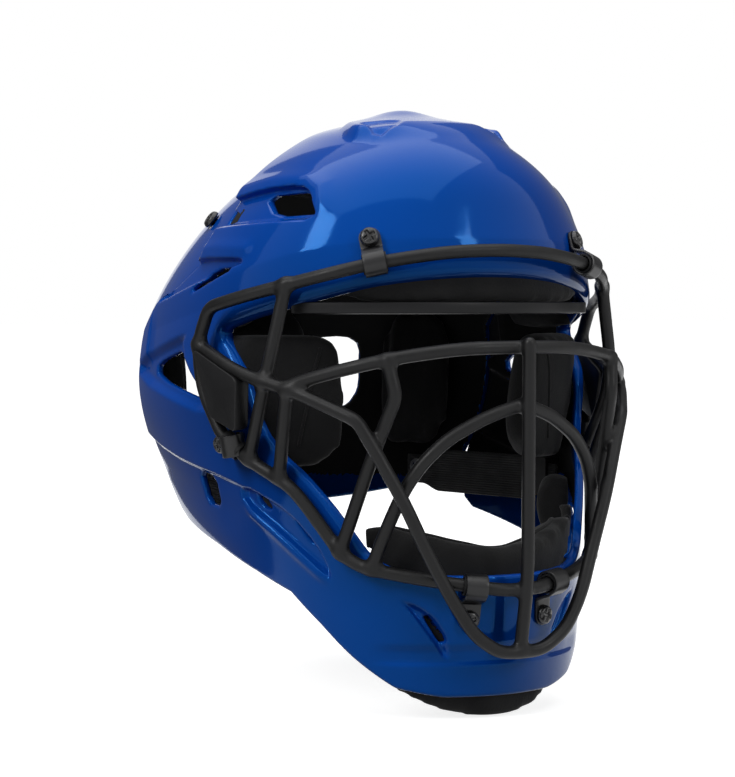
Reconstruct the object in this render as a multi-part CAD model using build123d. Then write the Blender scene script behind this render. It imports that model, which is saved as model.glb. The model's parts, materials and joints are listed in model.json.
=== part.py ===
"""Hockey style helmet with a welded wire face guard, as worn behind home plate.

Axes: +X is the wearer's left, -Y is the way the face looks and +Z is up. The origin is the middle of the
head that the helmet sits on, level with the ears. Lengths are in millimetres.
"""
from build123d import *
import math
import os

# Shell, measured from the head's middle
HALF_WIDTH = 107.0
FRONT_REACH = 125.0
REAR_REACH = 137.0
CROWN_HEIGHT = 133.0
CHIN_DROP = 139.0
WALL = 3.5
REAR_SHELL_INSET = 4.6
SHELL_LAP = 2.0
PARTING_GAP = 1.8
OVERRUN = 60.0

# Raised panel on the crown
HOOD_RISE = 3.0
HOOD_SINK = 2.0

# Face guard wire
WIRE_DIAMETER = 6.2
BEND_RADIUS = 11.0
PLATE_THICKNESS = 8.0

# Clips, screws and nuts
CLIP_WIDTH = 10.0
CLIP_THICKNESS = 1.2
CLIP_CLEARANCE = 0.65
SLEEVE_THICKNESS = 0.8
SLEEVE_LENGTH = 11.0
SCREW_DIAMETER = 4.0
SCREW_HEAD_DIAMETER = 9.0
SCREW_HEAD_HEIGHT = 2.8
CROSS_WIDTH = 1.2
CROSS_LENGTH = 5.0
CROSS_DEPTH = 1.4
HOLE_CLEARANCE = 0.35
SCREW_CLEARANCE = 0.06
NUT_FLANGE_DIAMETER = 13.0
NUT_FLANGE_THICKNESS = 1.4
NUT_BARREL_DIAMETER = 6.4
NUT_BARREL_LENGTH = 5.0
SEAT_GAP = 0.3
STRAP_SEAT_GAP = 3.2
NUT_SEAT_GAP = 0.8

# Cushions
PAD_GAP = 0.6
PAD_SINK = 3.5
FOREHEAD_DEPTH = 15.0
CROWN_DEPTH = 13.0
TEMPLE_DEPTH = 14.0
CHEEK_DEPTH = 38.0
JAW_DEPTH = 15.0
CHIN_DEPTH = 18.0
CHIN_CUP_DEPTH = 11.0
REAR_PAD_DEPTH = 21.0
REAR_SIDE_DEPTH = 9.0
BROW_STRIP_DEPTH = 11.0

# Pivot of the rear shell
BRACKET_WIDTH = 15.0
BRACKET_TAIL = 9.0
BRACKET_REACH = 34.0
BRACKET_THICKNESS = 2.6
BRACKET_DROP = 2.5
PIVOT_PLAY = 0.9
WASHER_DIAMETER = 9.0

# Elastic straps and their studs
STRAP_WIDTH = 15.0
STRAP_THICKNESS = 1.8
STUD_DIAMETER = 9.0
STUD_HEAD_THICKNESS = 1.6
STUD_SHANK_DIAMETER = 3.5
KEEPER_LENGTH = 8.0
KEEPER_WALL = 1.8
KEEPER_REACH = 9.0

# Sections of the shell from the crown to the chin. Each row: height, half width, place of the widest point,
# front, rear (shares of the sizes above) and the powers that square the front and the rear off.
SECTION_SHARES = (
    (0.998, 0.065, -0.216, -0.280, -0.136, 2.0, 2.0),
    (0.989, 0.159, -0.216, -0.384, -0.029, 2.0, 2.0),
    (0.955, 0.308, -0.216, -0.560, 0.102, 2.0, 2.0),
    (0.880, 0.495, -0.208, -0.720, 0.263, 2.05, 2.0),
    (0.752, 0.701, -0.192, -0.840, 0.453, 2.1, 2.1),
    (0.602, 0.841, -0.144, -0.896, 0.628, 2.15, 2.2),
    (0.451, 0.925, -0.080, -0.944, 0.781, 2.15, 2.25),
    (0.301, 0.977, 0.000, -0.968, 0.905, 2.15, 2.25),
    (0.150, 1.000, 0.058, -0.984, 0.978, 2.1, 2.25),
    (0.000, 1.000, 0.073, -1.000, 1.000, 2.0, 2.25),
    (-0.180, 0.953, 0.029, -1.024, 0.956, 1.85, 2.2),
    (-0.360, 0.893, -0.080, -1.040, 0.861, 1.8, 2.1),
    (-0.540, 0.822, -0.192, -1.048, 0.693, 1.8, 2.1),
    (-0.719, 0.766, -0.288, -1.032, 0.511, 1.85, 2.1),
    (-0.899, 0.729, -0.336, -1.008, 0.292, 1.9, 2.1),
    (-1.187, 0.692, -0.352, -0.968, 0.146, 1.9, 2.1),
)
SECTION_POINTS = 28

# Outlines in side view: shares of the front or rear reach and of the crown height or the chin drop.
FRONT_SHELL_SHARES = (
    (-0.112, 1.30), (-0.112, 0.763), (-0.096, 0.602), (-0.068, 0.492), (0.000, 0.451), (0.241, 0.316),
    (0.321, 0.226), (0.343, 0.000), (0.350, -0.144), (0.328, -0.324), (0.277, -0.432), (0.219, -0.468),
    (-0.075, -0.527), (-0.348, -0.599), (-0.518, -0.652), (-0.641, -0.753), (-0.742, -0.854),
    (-0.850, -0.951), (-0.938, -0.981), (-1.40, -1.000), (-1.40, 1.30),
)
PORT_SHARES = (
    (-1.40, 0.461), (-0.940, 0.461), (-0.867, 0.432), (-0.749, 0.389), (-0.604, 0.338), (-0.403, 0.279),
    (-0.278, 0.226), (-0.345, 0.150), (-0.412, 0.054), (-0.458, -0.113), (-0.521, -0.194),
    (-0.601, -0.256), (-0.687, -0.351), (-0.743, -0.431), (-0.800, -0.520), (-0.873, -0.566),
    (-0.983, -0.580), (-1.40, -0.596),
)
PORT_RADIUS = 5.0
WINDOW_SHARES = ((0.190, 0.100), (-0.015, 0.156), (-0.182, 0.007), (-0.218, -0.037), (0.186, 0.052))
WINDOW_RADIUS = 3.0
STRAP_SLOT_SHARES = ((-0.056, -0.265), (-0.164, -0.285), (-0.168, -0.388), (-0.066, -0.380))
STRAP_SLOT_RADIUS = 1.8
UPPER_VENT_SHARES = ((-0.292, 0.694), (-0.516, 0.704), (-0.601, 0.629), (-0.407, 0.620))
MIDDLE_VENT_SHARES = ((-0.020, 0.636), (-0.126, 0.652), (-0.198, 0.605), (-0.050, 0.598))
LOWER_VENT_SHARES = ((-0.060, 0.352), (-0.173, 0.437), (-0.341, 0.446), (-0.170, 0.385))
VENT_RADIUS = 1.2
JAW_VENT_SHARES = (
    ((-0.374, -0.334), (-0.420, -0.340), (-0.448, -0.384), (-0.398, -0.372)),
    ((-0.540, -0.408), (-0.572, -0.414), (-0.630, -0.492), (-0.592, -0.478)),
)
REAR_SHELL_SHARES = (
    (-0.112, 1.30), (-0.112, 0.763), (-0.096, 0.602), (-0.068, 0.492), (0.000, 0.451), (0.241, 0.316),
    (0.321, 0.226), (0.343, 0.000), (0.352, -0.144), (0.370, -0.300), (0.470, -0.380), (0.693, -0.450),
    (1.30, -0.470), (1.30, 1.30),
)

# Outlines in front view: shares of the half width and of the crown height or the chin drop.
REAR_SLOT_SHARES = ((0.215, 0.170), (0.545, 0.190), (0.560, -0.020), (0.480, -0.110), (0.235, -0.100))
REAR_SLOT_RADIUS = 4.0
CHIN_VENT_SHARES = ((0.345, -0.712), (0.315, -0.712), (0.255, -0.790), (0.285, -0.800))
# Outline of the crown panel seen from above: shares of the half width and of the front reach.
HOOD_SHARES = ((0.000, -0.720), (0.150, -0.700), (0.400, -0.600), (0.455, -0.430), (0.330, -0.400),
               (0.000, -0.400))

# Cage wires on the wearer's left, from end to end: shares of the half width, the front reach (forward is
# negative) and the crown height or the chin drop.
BROW_WIRE_SHARES = (
    (0.931, -0.385, -0.165), (0.963, -0.344, -0.129), (1.000, -0.248, 0.020), (1.016, -0.240, 0.180),
    (1.005, -0.316, 0.306), (0.944, -0.456, 0.340), (0.819, -0.626, 0.383), (0.695, -0.764, 0.420),
    (0.560, -0.850, 0.452), (0.420, -0.915, 0.474), (0.240, -0.962, 0.494), (0.000, -0.982, 0.502),
)
JAW_WIRE_SHARES = (
    (0.931, -0.385, -0.165), (0.892, -0.436, -0.209), (0.787, -0.604, -0.295), (0.743, -0.652, -0.353),
    (0.692, -0.712, -0.436), (0.645, -0.768, -0.511), (0.590, -0.828, -0.548), (0.495, -0.908, -0.568),
    (0.346, -1.008, -0.592), (0.100, -1.106, -0.620), (0.000, -1.112, -0.623),
)
EYE_BAR_SHARES = (
    (0.812, -0.560, -0.262), (0.848, -0.660, -0.043), (0.852, -0.684, 0.040), (0.747, -0.816, 0.083),
    (0.561, -0.988, 0.135), (0.280, -1.096, 0.169), (0.000, -1.120, 0.172),
)
OUTER_BAR_SHARES = (
    (1.014, -0.236, 0.176), (0.963, -0.496, 0.075), (0.841, -0.720, 0.023), (0.673, -0.924, -0.068),
    (0.598, -0.968, -0.187), (0.512, -1.020, -0.331), (0.420, -1.050, -0.496), (0.322, -1.092, -0.653),
    (0.229, -1.108, -0.763), (0.110, -1.110, -0.822), (0.000, -1.112, -0.827),
)
CENTRE_BAR_SHARES = ((0.000, -1.160, 0.184), (0.000, -1.152, -0.590), (0.000, -1.108, -0.808))
LOWER_ARC_SHARES = (
    (0.012, -1.120, -0.022), (0.159, -1.096, -0.058), (0.317, -1.050, -0.127), (0.413, -1.008, -0.206),
    (0.473, -0.968, -0.291), (0.510, -0.925, -0.388), (0.540, -0.888, -0.480), (0.561, -0.862, -0.552),
)
TEMPLE_WIRE_SHARES = ((0.819, -0.622, 0.386), (0.905, -0.590, 0.038), (0.884, -0.440, -0.208))
CHEEK_WIRE_SHARES = ((0.566, -0.984, 0.128), (0.545, -1.010, 0.008), (0.592, -0.905, -0.194),
                     (0.650, -0.764, -0.504))
SIDE_PLATE_SHARES = ((1.014, -0.244, 0.165), (0.952, -0.500, 0.062), (0.925, -0.468, -0.115),
                     (0.975, -0.322, -0.070))

# Screws: height share and turn from the front, in degrees.
BROW_SCREW_HEIGHT_SHARE = 0.540
BROW_SCREW_TURN = 34.5
SIDE_SCREW_HEIGHT_SHARE = -0.165
SIDE_SCREW_TURN = 71.5
CHIN_SCREW_HEIGHT_SHARE = -0.722
CHIN_SCREW_TURN = 15.5
PIVOT_HEIGHT_SHARE = 0.640
PIVOT_TURN = 106.0

# Cushions as height shares of their lower and upper edge and turns of their first and last end, in degrees.
FOREHEAD_SHARES = (0.335, 0.705)
BROW_STRIP_SHARES = (0.285, 0.325)
FOREHEAD_TURNS = (-54.0, 54.0)
CROWN_SHARE = 0.835
FRONT_CROWN_TURNS = (30.0, 78.0)
REAR_CROWN_TURNS = (104.0, 148.0)
TEMPLE_SHARES = (0.235, 0.425)
TEMPLE_TURNS = (64.0, 96.0)
CHEEK_SHARES = (-0.245, 0.215)
CHEEK_TURNS = (64.0, 80.0)
CHEEK_LEAN_SHARE = 0.960
JAW_SHARES = (-0.520, -0.300)
JAW_TURNS = (56.0, 69.0)
CHIN_SHARES = (-0.680, -0.490)
CHIN_TURNS = (-52.0, 52.0)
CHIN_RISE_SHARE = 0.160
CHIN_CUP_SHARES = (-1.065, -0.715)
CHIN_CUP_TURNS = (-62.0, 62.0)
CHIN_CUP_RISE_SHARE = 0.240
REAR_PAD_SHARES = (-0.280, 0.330)
REAR_PAD_TURN = 12.5
REAR_SIDE_SHARES = (-0.250, 0.300)
REAR_SIDE_TURNS = (118.0, 141.0)
STRAP_FRONT_TURN = 70.0
STRAP_BACK_TURN = 130.0

# How a cushion swells from end to end: height shares, depth shares, both for even steps along it.
SWELL_SHARES = ((0.62, 0.42), (0.93, 0.88), (1.00, 1.00), (0.98, 0.80), (1.00, 1.00), (0.93, 0.88),
                (0.62, 0.42))
PLAIN_SWELL_SHARES = ((0.66, 0.45), (0.95, 0.92), (1.00, 1.00), (0.95, 0.92), (0.66, 0.45))
CHEEK_SWELL_SHARES = ((0.72, 0.60), (0.96, 0.94), (1.00, 1.00), (1.00, 0.98), (0.80, 0.84))
# Cross section of a cushion: across and deep shares.
PAD_EDGE_SHARES = ((0.05, 0.00), (0.95, 0.00), (1.00, 0.36), (0.92, 0.76), (0.50, 1.00), (0.08, 0.76),
                   (0.00, 0.36))
CHEEK_EDGE_SHARES = ((0.05, 0.00), (0.95, 0.00), (1.00, 0.45), (0.94, 0.90), (0.50, 1.00), (0.06, 0.90),
                     (0.00, 0.45))


def along(share):
    """Place on Y from a share of the front or the rear reach."""
    return share * (FRONT_REACH if share < 0 else REAR_REACH)


def height(share):
    """Place on Z from a share of the crown height or the chin drop."""
    return share * (CROWN_HEIGHT if share > 0 else CHIN_DROP)


def section_sizes(z):
    """Half width, widest place, front, rear and both powers of the outer surface at the height z."""
    rows = [(height(r[0]), r[1] * HALF_WIDTH, along(r[2]), along(r[3]), along(r[4]), r[5], r[6])
            for r in reversed(SECTION_SHARES)]
    z = min(max(z, rows[0][0]), rows[-1][0])
    k = max(i for i in range(len(rows) - 1) if rows[i][0] <= z)
    return [monotone(rows, k, column, z) for column in range(1, 7)]


def monotone(rows, k, column, z):
    """Smooth value between rows k and k + 1 that never overshoots them."""
    def slope(i):
        if i <= 0 or i >= len(rows) - 1:
            j = max(min(i, len(rows) - 2), 0)
            return (rows[j + 1][column] - rows[j][column]) / (rows[j + 1][0] - rows[j][0])
        step_a = rows[i][0] - rows[i - 1][0]
        step_b = rows[i + 1][0] - rows[i][0]
        rise_a = (rows[i][column] - rows[i - 1][column]) / step_a
        rise_b = (rows[i + 1][column] - rows[i][column]) / step_b
        if rise_a * rise_b <= 0:
            return 0.0
        weight_a = 2 * step_b + step_a
        weight_b = step_b + 2 * step_a
        return (weight_a + weight_b) / (weight_a / rise_a + weight_b / rise_b)
    span = rows[k + 1][0] - rows[k][0]
    t = (z - rows[k][0]) / span
    return (rows[k][column] * (1 + 2 * t) * (1 - t) ** 2 + rows[k + 1][column] * t * t * (3 - 2 * t)
            + span * (slope(k) * t * (1 - t) ** 2 - slope(k + 1) * t * t * (1 - t)))


def shell_point(z, turn, inset=0.0):
    """Point on the shell at a height and a turn in degrees from the front to +X, moved inwards by inset."""
    width, widest, front, rear, front_power, rear_power = section_sizes(z)
    if z > 0:
        width *= 1 - inset / HALF_WIDTH
        front *= 1 - inset / FRONT_REACH
        rear *= 1 - inset / REAR_REACH
        z *= 1 - inset / CROWN_HEIGHT
    else:
        width -= inset
        front += inset
        rear -= inset
    across = math.sin(math.radians(turn))
    ahead = -math.cos(math.radians(turn))
    power = 2 / (front_power if ahead < 0 else rear_power)
    reach = widest - front if ahead < 0 else rear - widest
    x = math.copysign(width * abs(across) ** power, across)
    y = widest + math.copysign(reach * abs(ahead) ** power, ahead)
    return Vector(x, y, z)


def shell_normal(z, turn):
    """Unit vector that points out of the shell."""
    step = WALL / 2
    rise = shell_point(z + step, turn) - shell_point(z - step, turn)
    round_step = math.degrees(step / HALF_WIDTH)
    sweep_round = shell_point(z, turn + round_step) - shell_point(z, turn - round_step)
    return sweep_round.cross(rise).normalized()


def shell_solid(inset):
    """Closed solid inside the surface that lies inset below the outer surface."""
    wires = []
    for row in SECTION_SHARES:
        turns = [180.0 + 360.0 * i / SECTION_POINTS for i in range(SECTION_POINTS)]
        points = [shell_point(height(row[0]), turn, inset) for turn in turns]
        wires.append(Wire([Edge.make_spline(points, periodic=True)]))
    return Solid.make_loft(wires)


def whole(result):
    """One solid, or a group of solids, from what a cut or a join returns."""
    solids = result.solids()
    return solids[0] if len(solids) == 1 else Compound(solids)


def common(first, second):
    """What two solids share."""
    return whole(first.intersect(second))


def joined(first, *others):
    """The solids made one."""
    return whole(first.fuse(*others))


def cut_all(shape, cuts):
    """Take every cut away."""
    return whole(shape.cut(*cuts))


def rounded_face(points, radius):
    """Flat face inside the points, with each corner rounded as far as its two sides allow."""
    outline = Face(Wire.make_polygon(points, close=True))
    if radius <= 0:
        return outline
    for before, corner, after in zip(points[-1:] + points[:-1], points, points[1:] + points[:1]):
        turn = math.radians((corner - before).get_angle(after - corner))
        shorter = min((corner - before).length, (after - corner).length)
        radius = min(radius, 0.45 * shorter / math.tan(turn / 2))
    return outline.fillet_2d(radius, outline.vertices())


def side_cut(shares, start, end, radius=0.0):
    """Prism of a side view outline between two places on X."""
    points = [Vector(start, along(a), height(b)) for a, b in shares]
    return Solid.extrude(rounded_face(points, radius), Vector(end - start, 0, 0))


def front_cut(shares, side, start, end, radius=0.0):
    """Prism of a front view outline on one side, between two places on Y."""
    points = [Vector(side * a * HALF_WIDTH, start, height(b)) for a, b in shares]
    return Solid.extrude(rounded_face(points, radius), Vector(0, end - start, 0))


def both_sides(shares, radius):
    """The same side view cut through the left and the right wall."""
    outside = HALF_WIDTH + OVERRUN
    middle = HALF_WIDTH / 3
    return [side_cut(shares, middle, outside, radius), side_cut(shares, -outside, -middle, radius)]


def inward_between(low, high):
    """Unit vector square to the line from low to high, towards the head's middle."""
    chord = (high - low).normalized()
    middle = (low + high) * 0.5
    if middle.Z > HOOD_SINK + CROWN_HEIGHT * CROWN_SHARE * 0.9:
        return Vector(0, 0, -1)
    widest = section_sizes(middle.Z)[1]
    towards = Vector(-middle.X, widest - middle.Y, 0)
    return (towards - chord * towards.dot(chord)).normalized()


def cushion_wire(low, high, tall_share, depth, lean=0.0, edges=PAD_EDGE_SHARES):
    """Closed cross section of a cushion on the line from low to high, leaning by lean of its depth."""
    middle = (low + high) * 0.5
    inward = inward_between(low, high) - (high - low).normalized() * lean
    start = middle + (low - middle) * tall_share
    span = (high - low) * tall_share
    at = [start + span * across + inward * (depth * deep) for across, deep in edges]
    return Wire([
        Edge.make_line(at[0], at[1]),
        Edge.make_three_point_arc(at[1], at[2], at[3]),
        Edge.make_three_point_arc(at[3], at[4], at[5]),
        Edge.make_three_point_arc(at[5], at[6], at[0]),
    ])


def banded_cushion(height_shares, turns, depth, inset, swell=PLAIN_SWELL_SHARES, rise=0.0):
    """Cushion that follows the shell round from the first turn to the last, its ends higher by rise."""
    wires = []
    for i, (tall_share, deep_share) in enumerate(swell):
        along_share = i / (len(swell) - 1)
        turn = turns[0] + (turns[1] - turns[0]) * along_share
        lift = rise * (2 * along_share - 1) ** 2
        low = shell_point(height(height_shares[0]) + lift, turn, inset)
        high = shell_point(height(height_shares[1]) + lift, turn, inset)
        wires.append(cushion_wire(low, high, tall_share, depth * deep_share))
    return Solid.make_loft(wires)


def upright_cushion(height_shares, turns, depth, inset, swell, lean=0.0, edges=PAD_EDGE_SHARES):
    """Cushion that follows the shell up; it leans towards its first turn by lean of its depth."""
    wires = []
    low_z = height(height_shares[0])
    high_z = height(height_shares[1])
    for i, (wide_share, deep_share) in enumerate(swell):
        z = low_z + (high_z - low_z) * i / (len(swell) - 1)
        first = shell_point(z, turns[0], inset)
        last = shell_point(z, turns[1], inset)
        wires.append(cushion_wire(first, last, wide_share, depth * deep_share, lean, edges))
    return Solid.make_loft(wires)


def crown_cushion(turns, inset):
    """Cushion across the top of the head, from the first turn to the last on both sides."""
    wires = []
    z = height(CROWN_SHARE)
    for i, (wide_share, deep_share) in enumerate(PLAIN_SWELL_SHARES):
        turn = turns[0] + (turns[1] - turns[0]) * i / (len(PLAIN_SWELL_SHARES) - 1)
        left = shell_point(z, turn, inset)
        right = shell_point(z, -turn, inset)
        wires.append(cushion_wire(right, left, wide_share, CROWN_DEPTH * deep_share))
    return Solid.make_loft(wires)


def local_plane(z, turn):
    """Plane on the shell with Z outwards and X forwards along the surface."""
    normal = shell_normal(z, turn)
    place = shell_point(z, turn)
    ahead = shell_point(z, turn - math.copysign(math.degrees(WALL / HALF_WIDTH), turn)) - place
    return Plane(origin=place, x_dir=ahead - normal * ahead.dot(normal), z_dir=normal)


def rod(plane, radius, low, high):
    """Cylinder along the plane's Z from low to high."""
    base = plane.offset(low)
    return Solid.make_cylinder(radius, high - low, base)


def block(plane, size_x, size_y, x, y, low, high):
    """Box in a plane's own frame, centred at x and y, from low to high."""
    corner = plane.from_local_coords(Vector(x - size_x / 2, y - size_y / 2, low))
    return Solid.make_box(size_x, size_y, high - low, Plane(corner, x_dir=plane.x_dir, z_dir=plane.z_dir))


def screw(plane, seat, tip):
    """Pan head screw with a cross recess: its head sits on seat and its shank reaches tip."""
    head = rod(plane, SCREW_HEAD_DIAMETER / 2, seat, seat + SCREW_HEAD_HEIGHT)
    head = head.fillet(SCREW_HEAD_HEIGHT * 0.6, [head.edges().sort_by(Axis(plane.origin, plane.z_dir))[-1]])
    shank = rod(plane, SCREW_DIAMETER / 2, tip, seat + SCREW_HEAD_HEIGHT / 2)
    top = seat + SCREW_HEAD_HEIGHT
    cross = [block(plane, CROSS_LENGTH, CROSS_WIDTH, 0, 0, top - CROSS_DEPTH, top + CROSS_DEPTH),
             block(plane, CROSS_WIDTH, CROSS_LENGTH, 0, 0, top - CROSS_DEPTH, top + CROSS_DEPTH)]
    return cut_all(joined(head, shank), cross)


def nut(plane, seat):
    """Flanged nut whose flange bears on seat from inside."""
    flange = rod(plane, NUT_FLANGE_DIAMETER / 2, seat - NUT_FLANGE_THICKNESS, seat)
    barrel = rod(plane, NUT_BARREL_DIAMETER / 2, seat - NUT_BARREL_LENGTH, seat)
    bore = rod(plane, SCREW_DIAMETER / 2 + SCREW_CLEARANCE, seat - NUT_BARREL_LENGTH - WALL, seat + WALL)
    return cut_all(joined(flange, barrel), [bore])


def nut_pocket(plane, seat):
    """Room that a cushion leaves round a nut."""
    return rod(plane, NUT_FLANGE_DIAMETER / 2 + PAD_GAP, seat - NUT_BARREL_LENGTH - WALL, seat + WALL)


def route(shares):
    """Places of a wire's points on the wearer's left."""
    return [Vector(a * HALF_WIDTH, along(b), height(c)) for a, b, c in shares]


def mirrored(points):
    """The same points on the wearer's right."""
    return [Vector(-p.X, p.Y, p.Z) for p in points]


def full_route(shares):
    """A route that crosses the middle, from the right end to the left end."""
    left = route(shares)
    return mirrored(left) + left[-2::-1]


def bend_radii(points):
    """Radius of each bend: sharp bends are tool bends, gentle ones as large as their runs allow."""
    radii = []
    for before, corner, after in zip(points, points[1:], points[2:]):
        turn = math.radians((corner - before).get_angle(after - corner))
        shorter = min((corner - before).length, (after - corner).length)
        largest = 0.45 * shorter / math.tan(turn / 2)
        radii.append(min(largest, BEND_RADIUS) if turn > math.pi / 5 else largest)
    return radii


def wire_solid(points):
    """Round wire along the points."""
    if len(points) == 2:
        path = Wire([Edge.make_line(points[0], points[1])])
    else:
        path = Wire(FilletPolyline(*points, radius=bend_radii(points)).edges())
    start = Plane(origin=points[0], z_dir=points[1] - points[0])
    section = Face(Wire.make_circle(WIRE_DIAMETER / 2, start))
    return Solid.sweep(section, path)


def nearest_on(points, target):
    """Nearest place on a route to a target, and the direction of the wire there."""
    best = None
    for a, b in zip(points, points[1:]):
        run = b - a
        t = min(max((target - a).dot(run) / run.dot(run), 0), 1)
        place = a + run * t
        if best is None or (place - target).length < best[2]:
            best = (place, run.normalized(), (place - target).length)
    return best[0], best[1]


def clip(plane, points, shell_room):
    """Strap folded round the wire and screwed down at the plane: returns the clip and its sleeve."""
    place, direction = nearest_on(points, plane.origin)
    sleeve_inside = WIRE_DIAMETER / 2 + CLIP_CLEARANCE
    sleeve_outside = sleeve_inside + SLEEVE_THICKNESS
    loop_outside = sleeve_outside + CLIP_THICKNESS
    middle = Plane(origin=place, z_dir=direction)
    half = CLIP_WIDTH / 2
    local = plane.to_local_coords(place)
    reach = math.hypot(local.X, local.Y)
    toward = plane.from_local_coords(Vector(local.X, local.Y, 0)) - plane.origin
    across = Plane(origin=plane.origin, x_dir=toward, z_dir=plane.z_dir)
    tongue = block(across, reach + half, CLIP_WIDTH, (reach - half) / 2, 0,
                   SEAT_GAP, SEAT_GAP + CLIP_THICKNESS)
    rise = local.Z - loop_outside
    if rise > SEAT_GAP + CLIP_THICKNESS:
        tongue = joined(tongue, block(across, CLIP_THICKNESS, CLIP_WIDTH, reach - CLIP_THICKNESS / 2, 0,
                                      SEAT_GAP, rise + CLIP_THICKNESS))
    tongue = cut_all(tongue, [rod(plane, SCREW_DIAMETER / 2 + HOLE_CLEARANCE, -OVERRUN / 2, OVERRUN / 2)])
    body = cut_all(joined(tongue, rod(middle, loop_outside, -half, half)), [
        rod(middle, sleeve_outside + SEAT_GAP / 3, -CLIP_WIDTH, CLIP_WIDTH),
        shell_room,
    ])
    sleeve = rod(middle, sleeve_outside, -SLEEVE_LENGTH / 2, SLEEVE_LENGTH / 2)
    return body, cut_all(sleeve, [rod(middle, sleeve_inside, -OVERRUN / 2, OVERRUN / 2), shell_room])


def save(name, *solids):
    """Write one node."""
    shapes = [s for part in solids for s in part.solids()]
    shape = shapes[0] if len(shapes) == 1 else Compound(shapes)
    export_step(shape, os.path.join("parts", name + ".step"))


def flip(shape):
    """The same piece on the wearer's right."""
    return shape.mirror(Plane.YZ)


def save_pair(name, left):
    """Write the left and the right piece as two nodes."""
    save(name + "_l", left)
    save(name + "_r", flip(left))


def screw_places():
    """Local planes of the screws on the wearer's left."""
    return {
        "brow": local_plane(height(BROW_SCREW_HEIGHT_SHARE), BROW_SCREW_TURN),
        "side": local_plane(height(SIDE_SCREW_HEIGHT_SHARE), SIDE_SCREW_TURN),
        "chin": local_plane(height(CHIN_SCREW_HEIGHT_SHARE), CHIN_SCREW_TURN),
        "pivot": local_plane(height(PIVOT_HEIGHT_SHARE), PIVOT_TURN),
    }


def make_front_shell(outer, inner, planes):
    """Forehead, crown, sides, jaw and chin in one moulding."""
    outside = HALF_WIDTH + OVERRUN
    shell = common(cut_all(outer, [inner]), side_cut(FRONT_SHELL_SHARES, -outside, outside))
    shell = cut_all(shell, [side_cut(PORT_SHARES, -outside, outside, PORT_RADIUS)])
    cuts = both_sides(WINDOW_SHARES, WINDOW_RADIUS) + both_sides(STRAP_SLOT_SHARES, STRAP_SLOT_RADIUS)
    for shares in (UPPER_VENT_SHARES, MIDDLE_VENT_SHARES, LOWER_VENT_SHARES) + JAW_VENT_SHARES:
        cuts += both_sides(shares, VENT_RADIUS)
    for side in (1, -1):
        cuts.append(front_cut(CHIN_VENT_SHARES, side, -FRONT_REACH - OVERRUN, -FRONT_REACH / 2,
                              VENT_RADIUS / 2))
    for name in ("brow", "side", "chin"):
        hole = rod(planes[name], SCREW_DIAMETER / 2 + HOLE_CLEARANCE, -OVERRUN / 4, OVERRUN / 4)
        cuts += [hole, flip(hole)]
    return cut_all(shell, cuts)


def make_hood():
    """Raised panel on the crown."""
    raised = shell_solid(-HOOD_RISE)
    sunk = shell_solid(HOOD_SINK)
    left = [Vector(a * HALF_WIDTH, b * FRONT_REACH, CROWN_HEIGHT / 2) for a, b in HOOD_SHARES]
    outline = left + mirrored(left)[-2:0:-1]
    prism = Solid.extrude(Face(Wire.make_polygon(outline, close=True)), Vector(0, 0, CROWN_HEIGHT))
    return common(cut_all(raised, [sunk]), prism)


def make_rear_shell(planes):
    """Plate behind the head, a little smaller than the front shell, whose rear edge it laps under."""
    outside = HALF_WIDTH + OVERRUN
    body = cut_all(shell_solid(REAR_SHELL_INSET), [shell_solid(REAR_SHELL_INSET + WALL)])
    points = [Vector(-outside, along(a) - SHELL_LAP, height(b)) for a, b in REAR_SHELL_SHARES]
    keep = Solid.extrude(Face(Wire.make_polygon(points, close=True)), Vector(2 * outside, 0, 0))
    body = common(body, keep)
    cuts = [front_cut(REAR_SLOT_SHARES, side, 0, REAR_REACH + OVERRUN, REAR_SLOT_RADIUS) for side in (1, -1)]
    hole = rod(planes["pivot"], SCREW_DIAMETER / 2 + PIVOT_PLAY, -OVERRUN / 2, OVERRUN / 2)
    stud_hole = rod(stud_axis(), STUD_SHANK_DIAMETER / 2 + HOLE_CLEARANCE, 0, OVERRUN / 2)
    return cut_all(body, cuts + [hole, flip(hole), stud_hole, flip(stud_hole)])


def make_pivot_bracket(plane):
    """Tab that reaches back from the front shell, under the rear shell, to the pivot screw."""
    under = REAR_SHELL_INSET + WALL + BRACKET_DROP
    bottom = shell_solid(under + BRACKET_THICKNESS)
    length = BRACKET_REACH + BRACKET_TAIL
    tab = common(cut_all(shell_solid(under), [bottom]),
                 block(plane, length, BRACKET_WIDTH, length / 2 - BRACKET_TAIL, 0, -OVERRUN / 2, OVERRUN / 4))
    foot = cut_all(shell_solid(WALL + SEAT_GAP), [bottom])
    ahead = along(FRONT_SHELL_SHARES[1][0]) - SHELL_LAP - PARTING_GAP
    start = plane.origin.Y - ahead
    foot = common(foot, block(plane, BRACKET_REACH - start, BRACKET_WIDTH, (BRACKET_REACH + start) / 2, 0,
                              -OVERRUN / 2, OVERRUN / 4))
    hole = rod(plane, SCREW_DIAMETER / 2 + HOLE_CLEARANCE, -OVERRUN / 2, OVERRUN / 2)
    return cut_all(joined(tab, foot), [hole])


def pivot_washer(plane):
    """Spacer on the pivot screw between the rear shell and the bracket."""
    top = -REAR_SHELL_INSET - WALL - NUT_SEAT_GAP
    bottom = -REAR_SHELL_INSET - WALL - BRACKET_DROP + SEAT_GAP
    bore = rod(plane, SCREW_DIAMETER / 2 + SCREW_CLEARANCE, -OVERRUN / 2, OVERRUN / 2)
    return cut_all(rod(plane, WASHER_DIAMETER / 2, bottom, top), [bore])


def make_side_plate():
    """Gusset between the rim wire and the outer bar."""
    corners = route(SIDE_PLATE_SHARES)
    normal = (corners[1] - corners[0]).cross(corners[3] - corners[0]).normalized()
    flat = [p - normal * (p - corners[0]).dot(normal) for p in corners]
    lifted = [p - normal * (PLATE_THICKNESS / 2) for p in flat]
    return Solid.extrude(Face(Wire.make_polygon(lifted, close=True)), normal * PLATE_THICKNESS)


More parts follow.
